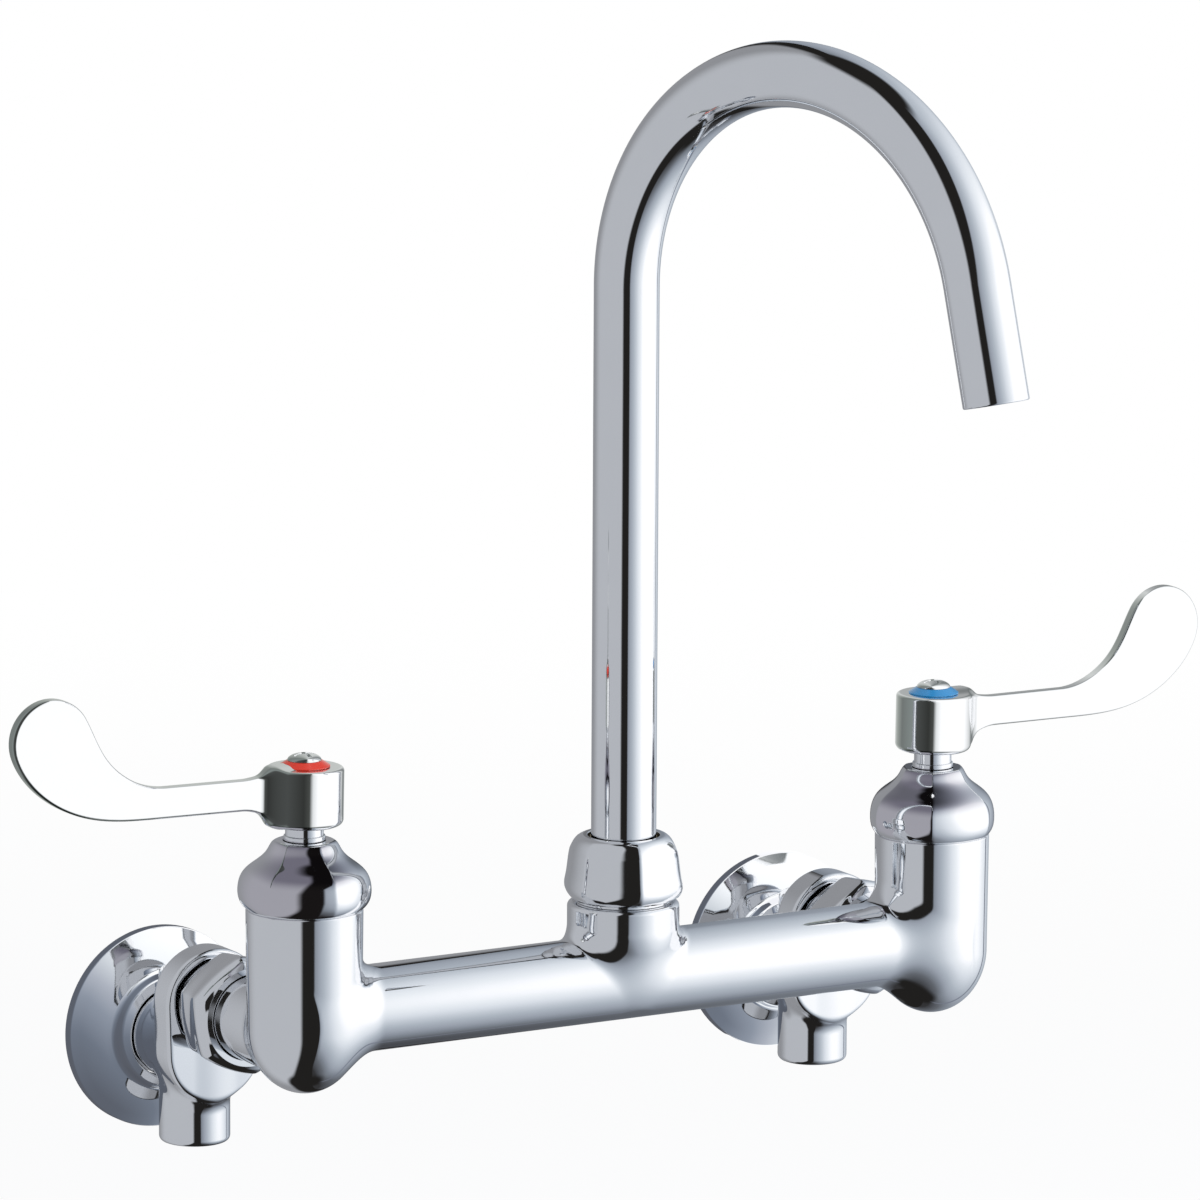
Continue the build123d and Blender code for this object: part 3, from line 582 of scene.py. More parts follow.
# The centre line is a line, an arc and a line in one plane, with a circle round each point. At the outlet the wall
# turns in over a small rounding and runs back inside
def makeSpout():
    s = Form(**spout)
    angle = np.radians(s.bendAngle)
    bendLength = s.bend * angle
    upright = s.straight - s.foot
    total = upright + bendLength + s.end
    inner, e, last = s.radius - s.wall, s.edge, total - s.back
    outlet = rounded([(s.radius, last, 0), (s.radius, total, e), (inner, total, e), (inner, last, 0)], 8)
    rows = s.rows
    run = np.concatenate([
        np.linspace(0, upright, rows[0])[:-1],
        upright + np.linspace(0, bendLength, rows[1])[:-1],
        np.linspace(total - s.end, last, rows[2])[:-1],
    ])
    outside = np.stack([0 * run + s.radius, run, 0 * run + 1, 0 * run], -1)
    inside = np.stack([0 * run + inner, run, 0 * run - 1, 0 * run], -1)[::-1]
    profile = np.vstack([outside, outlet, inside])
    radius, at, outRadial, outAlong = profile.T
    fromBend = at - upright
    turn = np.clip(fromBend / s.bend, 0, angle)
    past = np.maximum(fromBend - bendLength, 0)
    reach = s.bend * (1 - np.cos(turn)) + past * np.sin(angle)
    rise = s.foot + np.minimum(at, upright) + s.bend * np.sin(turn) + past * np.cos(angle)
    heading = np.radians(s.turn)
    ahead = np.array([np.sin(heading), -np.cos(heading), 0])
    up = np.array([0, 0, 1.0])
    beside = np.cross(up, ahead)
    centre = reach[:, None] * ahead + rise[:, None] * up
    across = np.cos(turn)[:, None] * ahead - np.sin(turn)[:, None] * up
    along = np.sin(turn)[:, None] * ahead + np.cos(turn)[:, None] * up
    count = s.angles
    around = fullTurn(count)
    c, w = np.cos(around)[None, :, None], np.sin(around)[None, :, None]
    out = across[:, None] * c + beside[None, None] * w
    points = centre[:, None] + radius[:, None, None] * out
    normals = outRadial[:, None, None] * out + outAlong[:, None, None] * along[:, None]
    index = np.arange(len(profile) * count).reshape(len(profile), count)
    points = points.reshape(-1, 3) + np.array([0, place.bodyY, place.bridgeZ])
    return makeObject("gooseneck_tube", points, normals.reshape(-1, 3), ringQuads(index, True))


finishPiece(makeSpout(), "spout", "chrome", "spout_tube")
print("spout made")

# Six-sided nuts and bonnets: knots are (half width, height). Flatness at the foot, in the body and at the top is 1
# for a true hexagon and 0 for a circle. Bores are (radius, top)
spoutNut = dict(
    knots=[(14.4, 0), (15.75, 2.2), (15.5, 6.0), (14.85, 11.0), (14.0, 15.0), (12.6, 17.3), (11.2, 17.9)],
    flatness=(0.35, 0.45, 0.1), turn=-12.0, ease=0.03, bores=[(13.2, 13.9), (10.1, 17.9)],
)
couplingNut = dict(
    knots=[(14.0, 0), (15.5, 1.6), (15.4, 6.5), (14.8, 13.0), (13.2, 17.6), (11.8, 19.5)],
    flatness=(0.4, 0.62, 0.3), turn=-8.0, ease=0.05, bores=[(12.2, 12.2), (9.5, 19.5)],
)
bonnet = dict(
    knots=[
        (15.9, 0), (17.15, 1.9), (17.6, 4.9), (17.3, 7.7), (16.15, 10.4), (14.05, 12.5), (11.7, 14.3),
        (9.95, 16.2), (9.0, 17.9), (7.7, 19.1),
    ],
    flatness=(0.2, 0.32, 0.35), turn={"hot": -120.0, "cold": -92.0}, ease=0.025,
    bores=[(14.4, 3.6), (11.8, 8.0), (8.8, 13.2), (5.85, 19.1)],
)


# Outline up the outside, in over the top, and down through the stepped bores
def makeSixSided(name, form, centre, along, turn):
    lipWidth, footFade, boreFade = 0.3, 0.03, 1.5
    knots, steps = form["knots"], form["bores"][::-1]
    width, tall = knots[0][0], knots[-1][1]
    outside = curveThrough(knots, (0.9, 1.0), (-1.0, 0.0), 110)
    bores = [(knots[-1][0], tall, 0)]
    for (bore, top), (_, low) in zip(steps, [*steps[1:], (0, 0)]):
        bores += [(bore, top, 0.25), (bore, low, 0.25)]
    inside = rounded([*bores, (width - lipWidth, 0, 0)], 4)
    lip = rounded([(width - lipWidth, 0, 0), (width, 0, 0.15), (*outside[2, :2], 0)], 4)[1:-1]
    profile = np.vstack([lip, outside[3:], inside[1:]])
    count = len(lip) + len(outside) - 3
    height = profile[:count, 1] / tall
    foot, body, top = form["flatness"]
    facets = np.zeros(len(profile))
    facets[:count] = np.interp(height, (0, 0.25, 0.75, 1), (foot, body, body, top))
    facets[:count] *= np.clip(height / footFade, 0, 1)
    facets[:count] *= np.clip((profile[:count, 0] - steps[0][0]) / boreFade, 0, 1)
    return turned(name, profile, centre, along, 240, facets, sixSided(turn, form["ease"]))


nutFoot = (0, place.bodyY, place.nutFootZ)
nutPiece = makeSixSided("spout_hex_nut", spoutNut, nutFoot, (0, 0, 1), spoutNut["turn"])
finishPiece(nutPiece, "faucet", "chrome", "spout_nut")

# Handle: a round hub, and a flat blade whose outline is a neck, a waist and a round paddle.
# Reach from the hub's axis, and height above the hub's foot
handle = dict(
    step=0.36,
    hub=10.75, hubHeight=16.3, topEdge=1.1, footEdge=1.9, hubFillet=4.5,
    thickness=3.8, bladeEdge=0.9, neckFoot=5.4, neckHeight=8.6, neckReach=43.0,
    flareFrom=20.0, flareLength=9.0, flareRise=1.6, flareDrop=3.2,
    paddle=11.8, paddleAt=(77.8, 29.1), paddleAngles=(150.0, -20.0),
    waist=(60.8, 22.8), heel=(78.6, 12.6), heelLead=(66.0, 7.0),
    socket=4.24, socketTop=10.0, screwHole=2.4, socketEdge=0.5, shade=0.15,
    turn=1.5, seat={"hot": 2.2, "cold": 2.9}, lean={"hot": 0.9, "cold": -0.9},
)


# The blade's outline as points and outward normals, walked clockwise from the hub, where the neck flares with the
# square of the distance left
def bladeOutline():
    h = Form(**handle)
    top = h.neckFoot + h.neckHeight
    centre = np.array(h.paddleAt)
    first, last = np.radians(h.paddleAngles)
    radial = wayAt(np.linspace(first, last, 100))
    start, end = centre + h.paddle * radial[0], centre + h.paddle * radial[-1]
    radial = radial[1:-1]
    upper = curveThrough([(h.neckReach, top), h.waist, start], (1, 0), (np.sin(first), -np.cos(first)), 90)
    lower = curveThrough(
        [end, h.heel, h.heelLead, (h.neckReach, h.neckFoot)],
        (np.sin(last), -np.cos(last)), (-1, 0), 120,
    )
    run = np.linspace(-20, h.neckReach, 130)[:-1]
    near = np.clip((h.flareFrom - run) / h.flareLength, 0, 1)
    flares = []
    for edge, grow, side in ((top, h.flareRise, 1), (h.neckFoot, h.flareDrop, -1)):
        out = np.stack([2 * grow * near * (near < 1) / h.flareLength, 0 * run + side], -1)
        out /= np.linalg.norm(out, axis=1, keepdims=True)
        flares.append(np.hstack([np.stack([run, edge + side * grow * near**2], -1), out]))
    neckTop, neckFoot = flares[0], flares[1][::-1]
    upper[:, 2:] *= -1
    lower[:, 2:] *= -1
    return np.vstack([neckTop, upper, np.hstack([centre + h.paddle * radial, radial]), lower, neckFoot])


# Signed distance to the outline on a flat grid: to the nearest outline point, along that point's normal
def outlineTable(outline, low, high, step):
    across = np.arange(low[0], high[0] + step, step)
    upward = np.arange(low[1], high[1] + step, step)
    table = np.empty((len(across), len(upward)))
    for k, reach in enumerate(across):
        away = np.stack([0 * upward + reach, upward], -1)[:, None] - outline[None, :, :2]
        nearest = (away**2).sum(-1).argmin(-1)
        table[k] = (away[np.arange(len(upward)), nearest] * outline[nearest, 2:]).sum(-1)
    return table


# Reads the table between its points, in proportion to the distances from the four around
def readTable(table, low, step, u, v):
    a = np.clip((u - low[0]) / step, 0, table.shape[0] - 1.001)
    b = np.clip((v - low[1]) / step, 0, table.shape[1] - 1.001)
    i, j = a.astype(int), b.astype(int)
    f, g = a - i, b - j
    return (table[i, j] * (1 - f) + table[i + 1, j] * f) * (1 - g) + (
        table[i, j + 1] * (1 - f) + table[i + 1, j + 1] * f
    ) * g


# Hub and blade are plates with rounded rims, joined with a fillet, less the sockets for stem and screw
def handleSurface():
    h = Form(**handle)
    outline = bladeOutline()
    tableLow, tableStep = (-24.0, -6.0), 0.25
    table = outlineTable(outline, tableLow, (94.0, 50.0), tableStep)

    def distance(p):
        x, y, z = p[..., 0], p[..., 1], p[..., 2]
        across = length(x, y) - h.hub
        middle = h.hubHeight / 2
        edge = np.where(z > middle, h.topEdge, h.footEdge)
        hub = shared(across, abs(z - middle) - middle, edge)
        flat = np.maximum(readTable(table, tableLow, tableStep, x, z), -x)
        blade = shared(flat, abs(y) - h.thickness / 2, h.bladeEdge)
        whole = joined(hub, blade, h.hubFillet)
        edge = h.socketEdge
        socket = shared(length(x, y) - h.socket, z - h.socketTop, edge)
        return shared(whole, -joined(socket, length(x, y) - h.screwHole, edge), edge)

    reach = h.paddleAt[0] + h.paddle
    low = (-h.hub - 1, -h.hub - 1, -1.0)
    high = (reach + 1, h.hub + 1, h.paddleAt[1] + h.paddle + 1)
    return skin(distance, low, high, h.step, h.shade)


handleMesh = handleSurface()
print("handle surface made")

# Small turned parts above the bonnet
indexRing = dict(hole=2.4, foot=7.1, top=4.9, rise=1.7)
screwHead = dict(
    radius=4.7, dome=2.0, slotWidth=1.0, slotDepth=0.9, slotLength=6.4, slotEdge=0.16,
    shank=2.0, length=14.0, rings=90, angles=160,
)
stemForm = dict(
    radius=5.3, spline=4.2, splineTop=83.6, bar=8.3, barWidth=7.0, barFoot=26.0,
    barTop=29.2, waist=2.9, waistTop=30.4, groove=4.3, grooveAt=(40.3, 42.5), tapped=2.04,
    tappedFrom=75.6, ring=5.75, ringHeight=1.5, ringGap=0.04,
)
flangeForm = dict(
    rim=28.7, rimDepth=3.0, rimEdge=0.5, face=(16.9, 7.3), faceFillet=2.0,
    crown=(22.6, 5.75), crownRound=45.0, collar=(15.8, 9.8),
    lip=11.0, bore=13.0, cavity=26.9, cavityRise=1.6, shell=2.0,
)


# A low dome with a crossed slot: height is the dome's less the slot's depth, which rises steeply at its edges
def makeScrew(name, centre):
    s = Form(**screwHead)
    angle = fullTurn(s.angles)

    def height(x, y):
        dome = s.dome * np.sqrt(np.maximum(1 - (x**2 + y**2) / (s.radius + 0.05) ** 2, 0))
        half, far = s.slotWidth / 2, s.slotLength / 2
        arms = [np.maximum(abs(a) - half, abs(b) - far) for a, b in ((x, y), (y, x))]
        depth = np.clip(0.5 - np.minimum(*arms) / s.slotEdge, 0, 1)
        floor = s.dome - s.slotDepth
        return dome - np.maximum(dome - floor, 0) * depth * depth * (3 - 2 * depth)

    radius, step = np.linspace(0, s.radius, s.rings)[:, None], 0.02
    x, y = radius * np.cos(angle), radius * np.sin(angle)
    points = np.stack([x, y, height(x, y)], -1)
    normals = np.stack([
        height(x - step, y) - height(x + step, y), height(x, y - step) - height(x, y + step),
        2 * step + 0 * x,
    ], -1)
    normals /= np.linalg.norm(normals, axis=-1, keepdims=True)
    under, underNormals = circles(rounded([
        (0, -s.length, 0), (s.shank, -s.length, 0.2), (s.shank, 0, 0.2), (s.radius, 0, 0.15),
        (s.radius, 0.2, 0),
    ], 5)[:-1], angle)
    points, normals = np.vstack([under, points[::-1]]), np.vstack([underNormals, normals[::-1]])
    quads = ringQuads(ringIndex(points))
    return makeObject(name, points.reshape(-1, 3) + np.array(centre), normals.reshape(-1, 3), quads)


def makeIndexRing(name, centre):
    r = Form(**indexRing)
    corners = [
        (r.hole, 0, 0.1), (r.foot, 0, 0.15), (r.foot, 0.35, 0.25), (r.top, r.rise, 0.3),
        (r.hole, r.rise, 0.1),
    ]
    return turned(name, rounded(corners, 6, True), centre)


# Cross bar, waist, grooved shaft, spline and tapped hole, up from the valve; the bar is a circle cut to two flats
def makeStem(name, centre, hubFoot):
    s = Form(**stemForm)
    low, high = s.grooveAt
    corners = [
        (0, s.barFoot, 0), (s.bar, s.barFoot, 0.3), (s.bar, s.barTop, 0.3),
        (s.waist, s.barTop, 0.3), (s.waist, s.waistTop, 0.3), (s.radius, s.waistTop, 0.3),
        (s.radius, low, 0.2), (s.groove, low, 0.2), (s.groove, high, 0.2),
        (s.radius, high, 0.2), (s.radius, hubFoot, 0.2), (s.spline, hubFoot, 0.2),
        (s.spline, s.splineTop, 0.3), (s.tapped, s.splineTop, 0.2),
        (s.tapped, s.tappedFrom, 0.2), (0, s.tappedFrom, 0),
    ]
    profile = rounded(corners, 5)
    flats = ((profile[:, 1] <= s.barTop) & (profile[:, 0] > s.waist + 0.5)).astype(float)

    def bar(angle):
        return smoothMin(1.0, s.barWidth / 2 / s.bar / np.maximum(abs(np.sin(angle)), 0.01), 0.04)

    return turned(name, profile, centre, facets=flats, outline=bar)


def makeStemRing(name, centre):
    s = Form(**stemForm)
    bore, high = s.radius + s.ringGap, s.ringHeight
    corners = [(bore, 0, 0.1), (s.ring, 0, 0.3), (s.ring, high, 0.3), (bore, high, 0.1)]
    return turned(name, rounded(corners, 6, True), centre)


# A shallow crowned cone: up the rim, in over face and collar, down the bore and out under the cone
def makeFlange(name, valveX):
    f = Form(**flangeForm)
    faceRadius, faceDepth = f.face
    under = faceDepth - f.shell
    profile = rounded([
        (f.rim, 0, 0.3), (f.rim, f.rimDepth, f.rimEdge), (*f.crown, f.crownRound),
        (faceRadius, faceDepth, f.faceFillet), (*f.collar, 1.4), (f.bore, f.lip, 0.5),
        (f.bore, under, 0.3), (faceRadius, under, 0.5), (f.cavity, f.cavityRise, 0.4),
        (f.cavity, 0, 0.2),
    ], 12, True)
    return turned(name, profile, (valveX, 0, 0), (0, -1, 0), angles=256)


# Supply arm: a flat link with round ends, the stop's stub hanging down, the inlet back to the wall and the tail
# forward to the coupling. Y is minus the distance from the wall
arm = dict(
    step=0.42,
    face=36.0, slab=9.2, head=15.2, foot=14.8, edge=1.1,
    stub=10.0, stubDrop=28.5, stubRise=21.0, stubTopEdge=1.5, stubEdge=1.6, stubCut=22.0,
    stubFillet=4.5, inletFillet=2.5, tailFillet=2.0, shade=0.5, inlet=12.7, inletCut=9.0,
    inletStart=2.0, inletBore=9.3, inletBoreDepth=13.0,
    tail=9.2, tailCut=39.0, tailEnd=48.0, tailFlange=11.7, tailFlangeThickness=3.0,
    bore=7.8, boreTop=5.06, waterway=6.0, waterwayDepth=10.0,
)


def armDistance(p):
    a = Form(**arm)
    x, y, z = p[..., 0], p[..., 1], p[..., 2]
    rise = place.couplingZ
    lean = (a.foot - a.head) / rise
    level = np.sqrt(1 - lean**2)
    beside = abs(x)
    k = -lean * beside + level * z
    head, sides = length(beside, z - rise) - a.head, beside * level + z * lean - a.foot
    plate = np.where(k < 0, length(beside, z) - a.foot, np.where(k > level * rise, head, sides))
    middle = y + a.face - a.slab / 2
    slab = shared(plate, abs(middle) - a.slab / 2, a.edge)
    stub = shared(length(x, y - place.stopY) - a.stub, z - a.stubRise, a.stubTopEdge)
    inlet = np.maximum(length(x, z) - a.inlet, -middle)
    tail = np.maximum(length(x, z - rise) - a.tail, middle)
    body = joined(slab, stub, a.stubFillet)
    body = joined(body, inlet, a.inletFillet)
    return joined(body, tail, a.tailFillet)


def armSurface():
    a = Form(**arm)
    step = a.step
    low = np.array([-a.head - 1, -a.tailCut - step / 2, -a.stubCut - step / 2])
    high = np.array([a.head + 1, -a.inletCut + step / 2, place.couplingZ + a.head + 1])
    high = low + step * np.round((high - low) / step)
    surface = skin(armDistance, low, high, step, a.shade)
    cut = a.stubCut
    rim, floor = a.stubDrop - cut, -a.boreTop - cut
    stubFoot = rounded([(a.stub, 0, 0), (a.stub, rim, a.stubEdge), *boreCorners(a.bore, rim, floor)])
    rim = a.inletCut - a.inletStart
    floor = rim - a.inletBoreDepth
    inletBack = rounded([(a.inlet, 0, 0), (a.inlet, rim, 0.5), *boreCorners(a.inletBore, rim, floor, 0.4)])
    rim = a.tailEnd - a.tailCut
    shoulder = rim - a.tailFlangeThickness
    floor = shoulder - a.waterwayDepth
    tailFront = rounded([
        (a.tail, 0, 0), (a.tail, shoulder, 0.3), (a.tailFlange, shoulder, 0.3),
        (a.tailFlange, rim, 0.3), *boreCorners(a.waterway, rim, floor),
    ])
    surface = carryOn(surface, (0, place.stopY, -cut), (0, 0, -1), stubFoot)
    surface = carryOn(surface, (0, high[1] - step / 2, 0), (0, 1, 0), inletBack)
    return carryOn(surface, (0, -a.tailCut, place.couplingZ), (0, -1, 0), tailFront)


armMesh = armSurface()
print("arm surface made")


# Puts a made surface at a valve, leaned and turned by a few degrees. A mirrored one has its faces turned round
def placed(name, surface, shift, mirrored=False, turn=0.0, lean=0.0):
    points, normals, quads = surface
    turning = np.array(Matrix.Rotation(np.radians(turn), 3, "Z") @ Matrix.Rotation(np.radians(-lean), 3, "Y"))
    points, normals = points @ turning.T, normals @ turning.T
    if mirrored:
        flip = np.array([-1, 1, 1])
        points, normals, quads = points * flip, normals * flip, quads[:, ::-1]
    return makeObject(name, points + np.array(shift), normals, quads)


# Pieces with a light of their own, and which
lightOf = {
    "bonnet": "bonnet", "handle": "handle", "index_ring": "handle", "handle_screw": "handle",
    "wall_flange": "flange",
}
ownLight = {light: [] for light in lightOf.values()}
for name, side in (("hot", -1), ("cold", 1)):
    x, y = side * place.valveX, place.bodyY
    rimZ, footZ = place.rimZ, place.hubFootZ + handle["seat"][name]
    collarZ = rimZ + bonnet["knots"][-1][1]
    hubTop = footZ + handle["hubHeight"]
    couplingFoot = (x, nodeBox(f"{name}_coupling_nut")[0][1], place.couplingZ)
    turn, lean = handle["turn"], handle["lean"][name]
    colour = {"hot": "red_plastic", "cold": "blue_plastic"}[name]
    fixed, moving = "faucet", f"{name}_handle"
    for node, body, slot, made in (
        ("bonnet", fixed, "chrome", makeSixSided(
            f"{name}_valve_bonnet", bonnet, (x, y, rimZ), (0, 0, 1), bonnet["turn"][name]
        )),
        ("stem_ring", fixed, "chrome", makeStemRing(f"{name}_stem_collar", (x, y, collarZ))),
        ("stem", moving, "chrome", makeStem(f"{name}_valve_stem", (x, y, 0), footZ)),
        ("handle", moving, "chrome", placed(
            f"{name}_wrist_blade", handleMesh, (x, y, footZ), side < 0, turn, lean
        )),
        ("index_ring", moving, colour, makeIndexRing(f"{name}_colour_ring", (x, y, hubTop))),
        ("handle_screw", moving, "screw_chrome", makeScrew(
            f"{name}_cross_screw", (x, y, hubTop + indexRing["rise"])
        )),
        ("wall_flange", fixed, "chrome", makeFlange(f"{name}_wall_dish", x)),
        ("supply_arm", fixed, "chrome", placed(f"{name}_arm_casting", armMesh, (x, 0, 0))),
        ("coupling_nut", fixed, "chrome", makeSixSided(
            f"{name}_hex_coupling", couplingNut, couplingFoot, (0, 1, 0), couplingNut["turn"]
        )),
    ):
        finishPiece(made, body, slot, f"{name}_{node}")
        if node in lightOf:
            ownLight[lightOf[node]].append(made)
print("valves, handles and arms made")

# Camera: its place is worked out from where the aim point falls in the picture
shot = dict(
    azimuth=30.5, elevation=10.86, roll=0.3, distance=3.026, focal=10833.0, frame=1200,
    aim=(0, -0.087, 0.0261), aimPixel=(624.8, 954.35), sensor=36.0,
)


def makeCamera():
    a, e, r = np.radians([shot["azimuth"], shot["elevation"], shot["roll"]])
    back = np.array([-np.sin(a) * np.cos(e), -np.cos(a) * np.cos(e), np.sin(e)])
    right = np.array([np.cos(a), -np.sin(a), 0])
    up = np.cross(back, right)
    perPixel = shot["distance"] / shot["focal"]
    beside = (shot["aimPixel"][0] - shot["frame"] / 2) * perPixel
    above = -(shot["aimPixel"][1] - shot["frame"] / 2) * perPixel
    spot = np.array(shot["aim"]) + shot["distance"] * back - beside * right - above * up
    rolledRight = np.cos(r) * right + np.sin(r) * up
    rolledUp = np.cos(r) * up - np.sin(r) * right
    camera = bpy.data.objects.new("camera", bpy.data.cameras.new("camera"))
    camera.matrix_world = Matrix.Translation(Vector(spot)) @ Matrix(
        np.stack([rolledRight, rolledUp, back], -1).tolist()
    ).to_4x4()
    camera.data.sensor_width = shot["sensor"]
    camera.data.lens = shot["sensor"] * shot["focal"] / shot["frame"]
    camera.data.clip_end = 100
    bpy.context.scene.collection.objects.link(camera)
    bpy.context.scene.camera = camera


makeCamera()
bpy.context.scene.view_settings.view_transform = "Standard"

# Studio: light tents round the faucet, which only reflections see. Azimuths are degrees to the camera's right, and
# elevations are above the tents' centre. A grey panel is on the left and a lit one on the right, with a dark gap
# at the camera. In the photograph handles, bonnets and flanges show other light, so they have tents of their own
studio = dict(
    centre=(0, -0.087, 0.0), dark=(0.135, 0.13, 0.125),
    greyMiddle=(-96, 8), greyHalf=(84, 70), greyCorner=(55, 28), cornerFrom=(-5, 20),
    greyLean=0.25, greyLeanFrom=15, greySoft=7,
    grey=(0.695, 0.705, 0.725), greyBack=(0.55, 0.555, 0.57), greyBackFrom=(100, 145),
    glowMiddle=(88, 14), glowLeft=90, glowRight=100, glowUp=85, glowDown=87,
    glow=[
        (0.0, 1.02, 1.02, 1.02), (0.34, 1.0, 1.0, 1.01), (0.42, 0.92, 0.935, 0.95), (0.51, 0.85, 0.87, 0.895),
        (0.6, 0.76, 0.785, 0.815), (0.7, 0.67, 0.70, 0.735), (0.8, 0.60, 0.625, 0.665),
        (0.9, 0.49, 0.515, 0.55), (1.0, 0.38, 0.395, 0.42), (1.1, 0.30, 0.31, 0.33), (1.2, 0.2, 0.2, 0.205),
    ],
    glowEdge=11, glowSoft=(-1.5, 2.5), glowLean=0.75, glowLeanFrom=30, glowTop=(72, 77),
    glowFoot=(-80, -68), glowWiden=1.2, glowWidenFrom=30, overhead=(1.0, 1.0, 1.0),
    overheadFrom=(20, 60), seamAt=135, seamHalf=3.0, seamTop=(20, 35), seam=(0.45, 0.47, 0.52),
    gain=1.12, floorZ=-0.30, floorSize=24.0, fadeFrom=0.7, fadeTo=2.2, keepShadow=0.25,
)
bonnetStudio = {
    **studio, "grey": (0.615, 0.61, 0.64), "glowTop": (40, 80), "glowRight": 78,
    "overhead": (0.70, 0.69, 0.73), "dark": (0.10, 0.09, 0.09), "glowEdge": 14, "greyHalf": (82, 70),
    "greySoft": 10,
}
# Plain sweeps for the other two: a colour for each value of azimuth + lean * elevation, dimmed far below
handleSweep = dict(
    lean=0.0, stops=[
        (-180, 0.80, 0.81, 0.80), (-150, 0.60, 0.62, 0.60), (-120, 0.44, 0.46, 0.45), (-72, 0.50, 0.53, 0.52),
        (-52, 0.28, 0.29, 0.285), (-10, 0.20, 0.207, 0.20), (6, 0.28, 0.29, 0.28), (16, 0.88, 0.89, 0.89),
        (30, 1.0, 1.0, 1.0), (108, 1.01, 1.01, 1.01), (136, 0.80, 0.81, 0.81), (154, 0.42, 0.44, 0.44),
        (168, 0.62, 0.63, 0.63), (180, 0.80, 0.81, 0.80),
    ],
    under=(0.42, 0.44, 0.43), underFrom=(-50, -24),
)
flangeSweep = dict(
    lean=1.3, stops=[
        (-200, 0.34, 0.35, 0.38), (-60, 0.36, 0.38, 0.42), (-20, 0.43, 0.46, 0.51), (10, 0.55, 0.58, 0.63),
        (30, 0.68, 0.70, 0.74), (50, 0.82, 0.84, 0.86), (75, 0.97, 0.98, 0.99), (120, 1.02, 1.02, 1.02),
        (240, 0.95, 0.95, 0.96),
    ],
    under=(1.0, 1.0, 1.0), underFrom=(-50, -24),
)
white = (1, 1, 1, 1)


# A colour as it looks on screen, as the light that gives it
def fromScreen(colour, gain=1.0):
    c = np.array(colour)
    light = np.where(c <= 0.04045, c / 12.92, ((c + 0.055) / 1.055) ** 2.4) * gain
    return (*[float(part) for part in light], 1.0)


# 0 to 1 as a value goes from low to high, eased at both ends
def eased(value, low, high):
    inputs = {"Value": value, "From Min": low, "From Max": high}
    return addNode(value.tree, "MapRange", inputs, {"interpolation_type": "SMOOTHSTEP"})


# A ramp of (place, red, green, blue) stops, as seen on screen, read at a value
def ramp(value, stops):
    low, high = stops[0][0], stops[-1][0]
    stops = [((stop[0] - low) / (high - low), fromScreen(stop[1:], studio["gain"])) for stop in stops]
    return addNode(value.tree, "ValToRGB", {0: (value - low) / (high - low)}, {"stops": stops})


# The root of the sum of the squares
def hypotenuse(*parts):
    total = parts[0] * parts[0]
    for part in parts[1:]:
        total = total + part * part
    return total.math("SQRT")


# The castings' light: both panels and the gap
def panelCloth(tree, s, azimuth, elevation):
    s = Form(**s)
    gain = s.gain
    leaned = azimuth - s.greyLean * (elevation - s.greyLeanFrom).positive()
    wide, narrow = s.greyCorner
    corner = wide + (narrow - wide) * eased(elevation, *s.cornerFrom)
    (middleX, middleY), (halfX, halfY) = s.greyMiddle, s.greyHalf
    across = (abs(leaned - middleX) - halfX + corner).positive()
    upward = (abs(elevation - middleY) - halfY + corner).positive()
    onGrey = 1 - eased(hypotenuse(across, upward) - corner, -s.greySoft / 2, s.greySoft / 2)
    backward = eased(-1 * azimuth, *s.greyBackFrom)
    grey = mixColour(tree, backward, fromScreen(s.grey, gain), fromScreen(s.greyBack, gain))

    sideways, lifted = azimuth - s.glowMiddle[0], elevation - s.glowMiddle[1]
    widen = s.glowWiden * (elevation - s.glowWidenFrom).positive()
    far = hypotenuse(
        (sideways / -s.glowLeft).positive(), (sideways / (widen + s.glowRight)).positive(),
        (lifted / s.glowUp).positive(), (lifted / -s.glowDown).positive(),
    )
    seam = 1 - eased(abs(azimuth - s.seamAt), s.seamHalf / 2, s.seamHalf)
    seam = seam * (1 - eased(elevation, *s.seamTop))
    glow = mixColour(tree, seam, ramp(far, s.glow), fromScreen(s.seam, gain))
    start = s.glowEdge + s.glowLean * (elevation - s.glowLeanFrom).positive()
    onGlow = eased(azimuth - start, *s.glowSoft) * (1 - eased(elevation, *s.glowTop))
    onGlow = onGlow * eased(elevation, *s.glowFoot)

    cloth = mixColour(tree, onGlow, mixColour(tree, onGrey, fromScreen(s.dark), grey), glow)
    shade = mixColour(tree, eased(elevation, *s.overheadFrom), white, fromScreen(s.overhead))
    return mixColour(tree, 1.0, cloth, shade, "MULTIPLY")


def sweepCloth(tree, s, azimuth, elevation):
    s = Form(**s)
    cloth = ramp(azimuth + s.lean * elevation, s.stops)
    shade = mixColour(tree, eased(elevation, *s.underFrom), fromScreen(s.under), white)
    return mixColour(tree, 1.0, cloth, shade, "MULTIPLY")


# The way towards the camera and the way to its right, both level
def levelWays():
    a = np.radians(shot["azimuth"])
    return np.array([-np.sin(a), -np.cos(a), 0]), np.array([np.cos(a), -np.sin(a), 0])


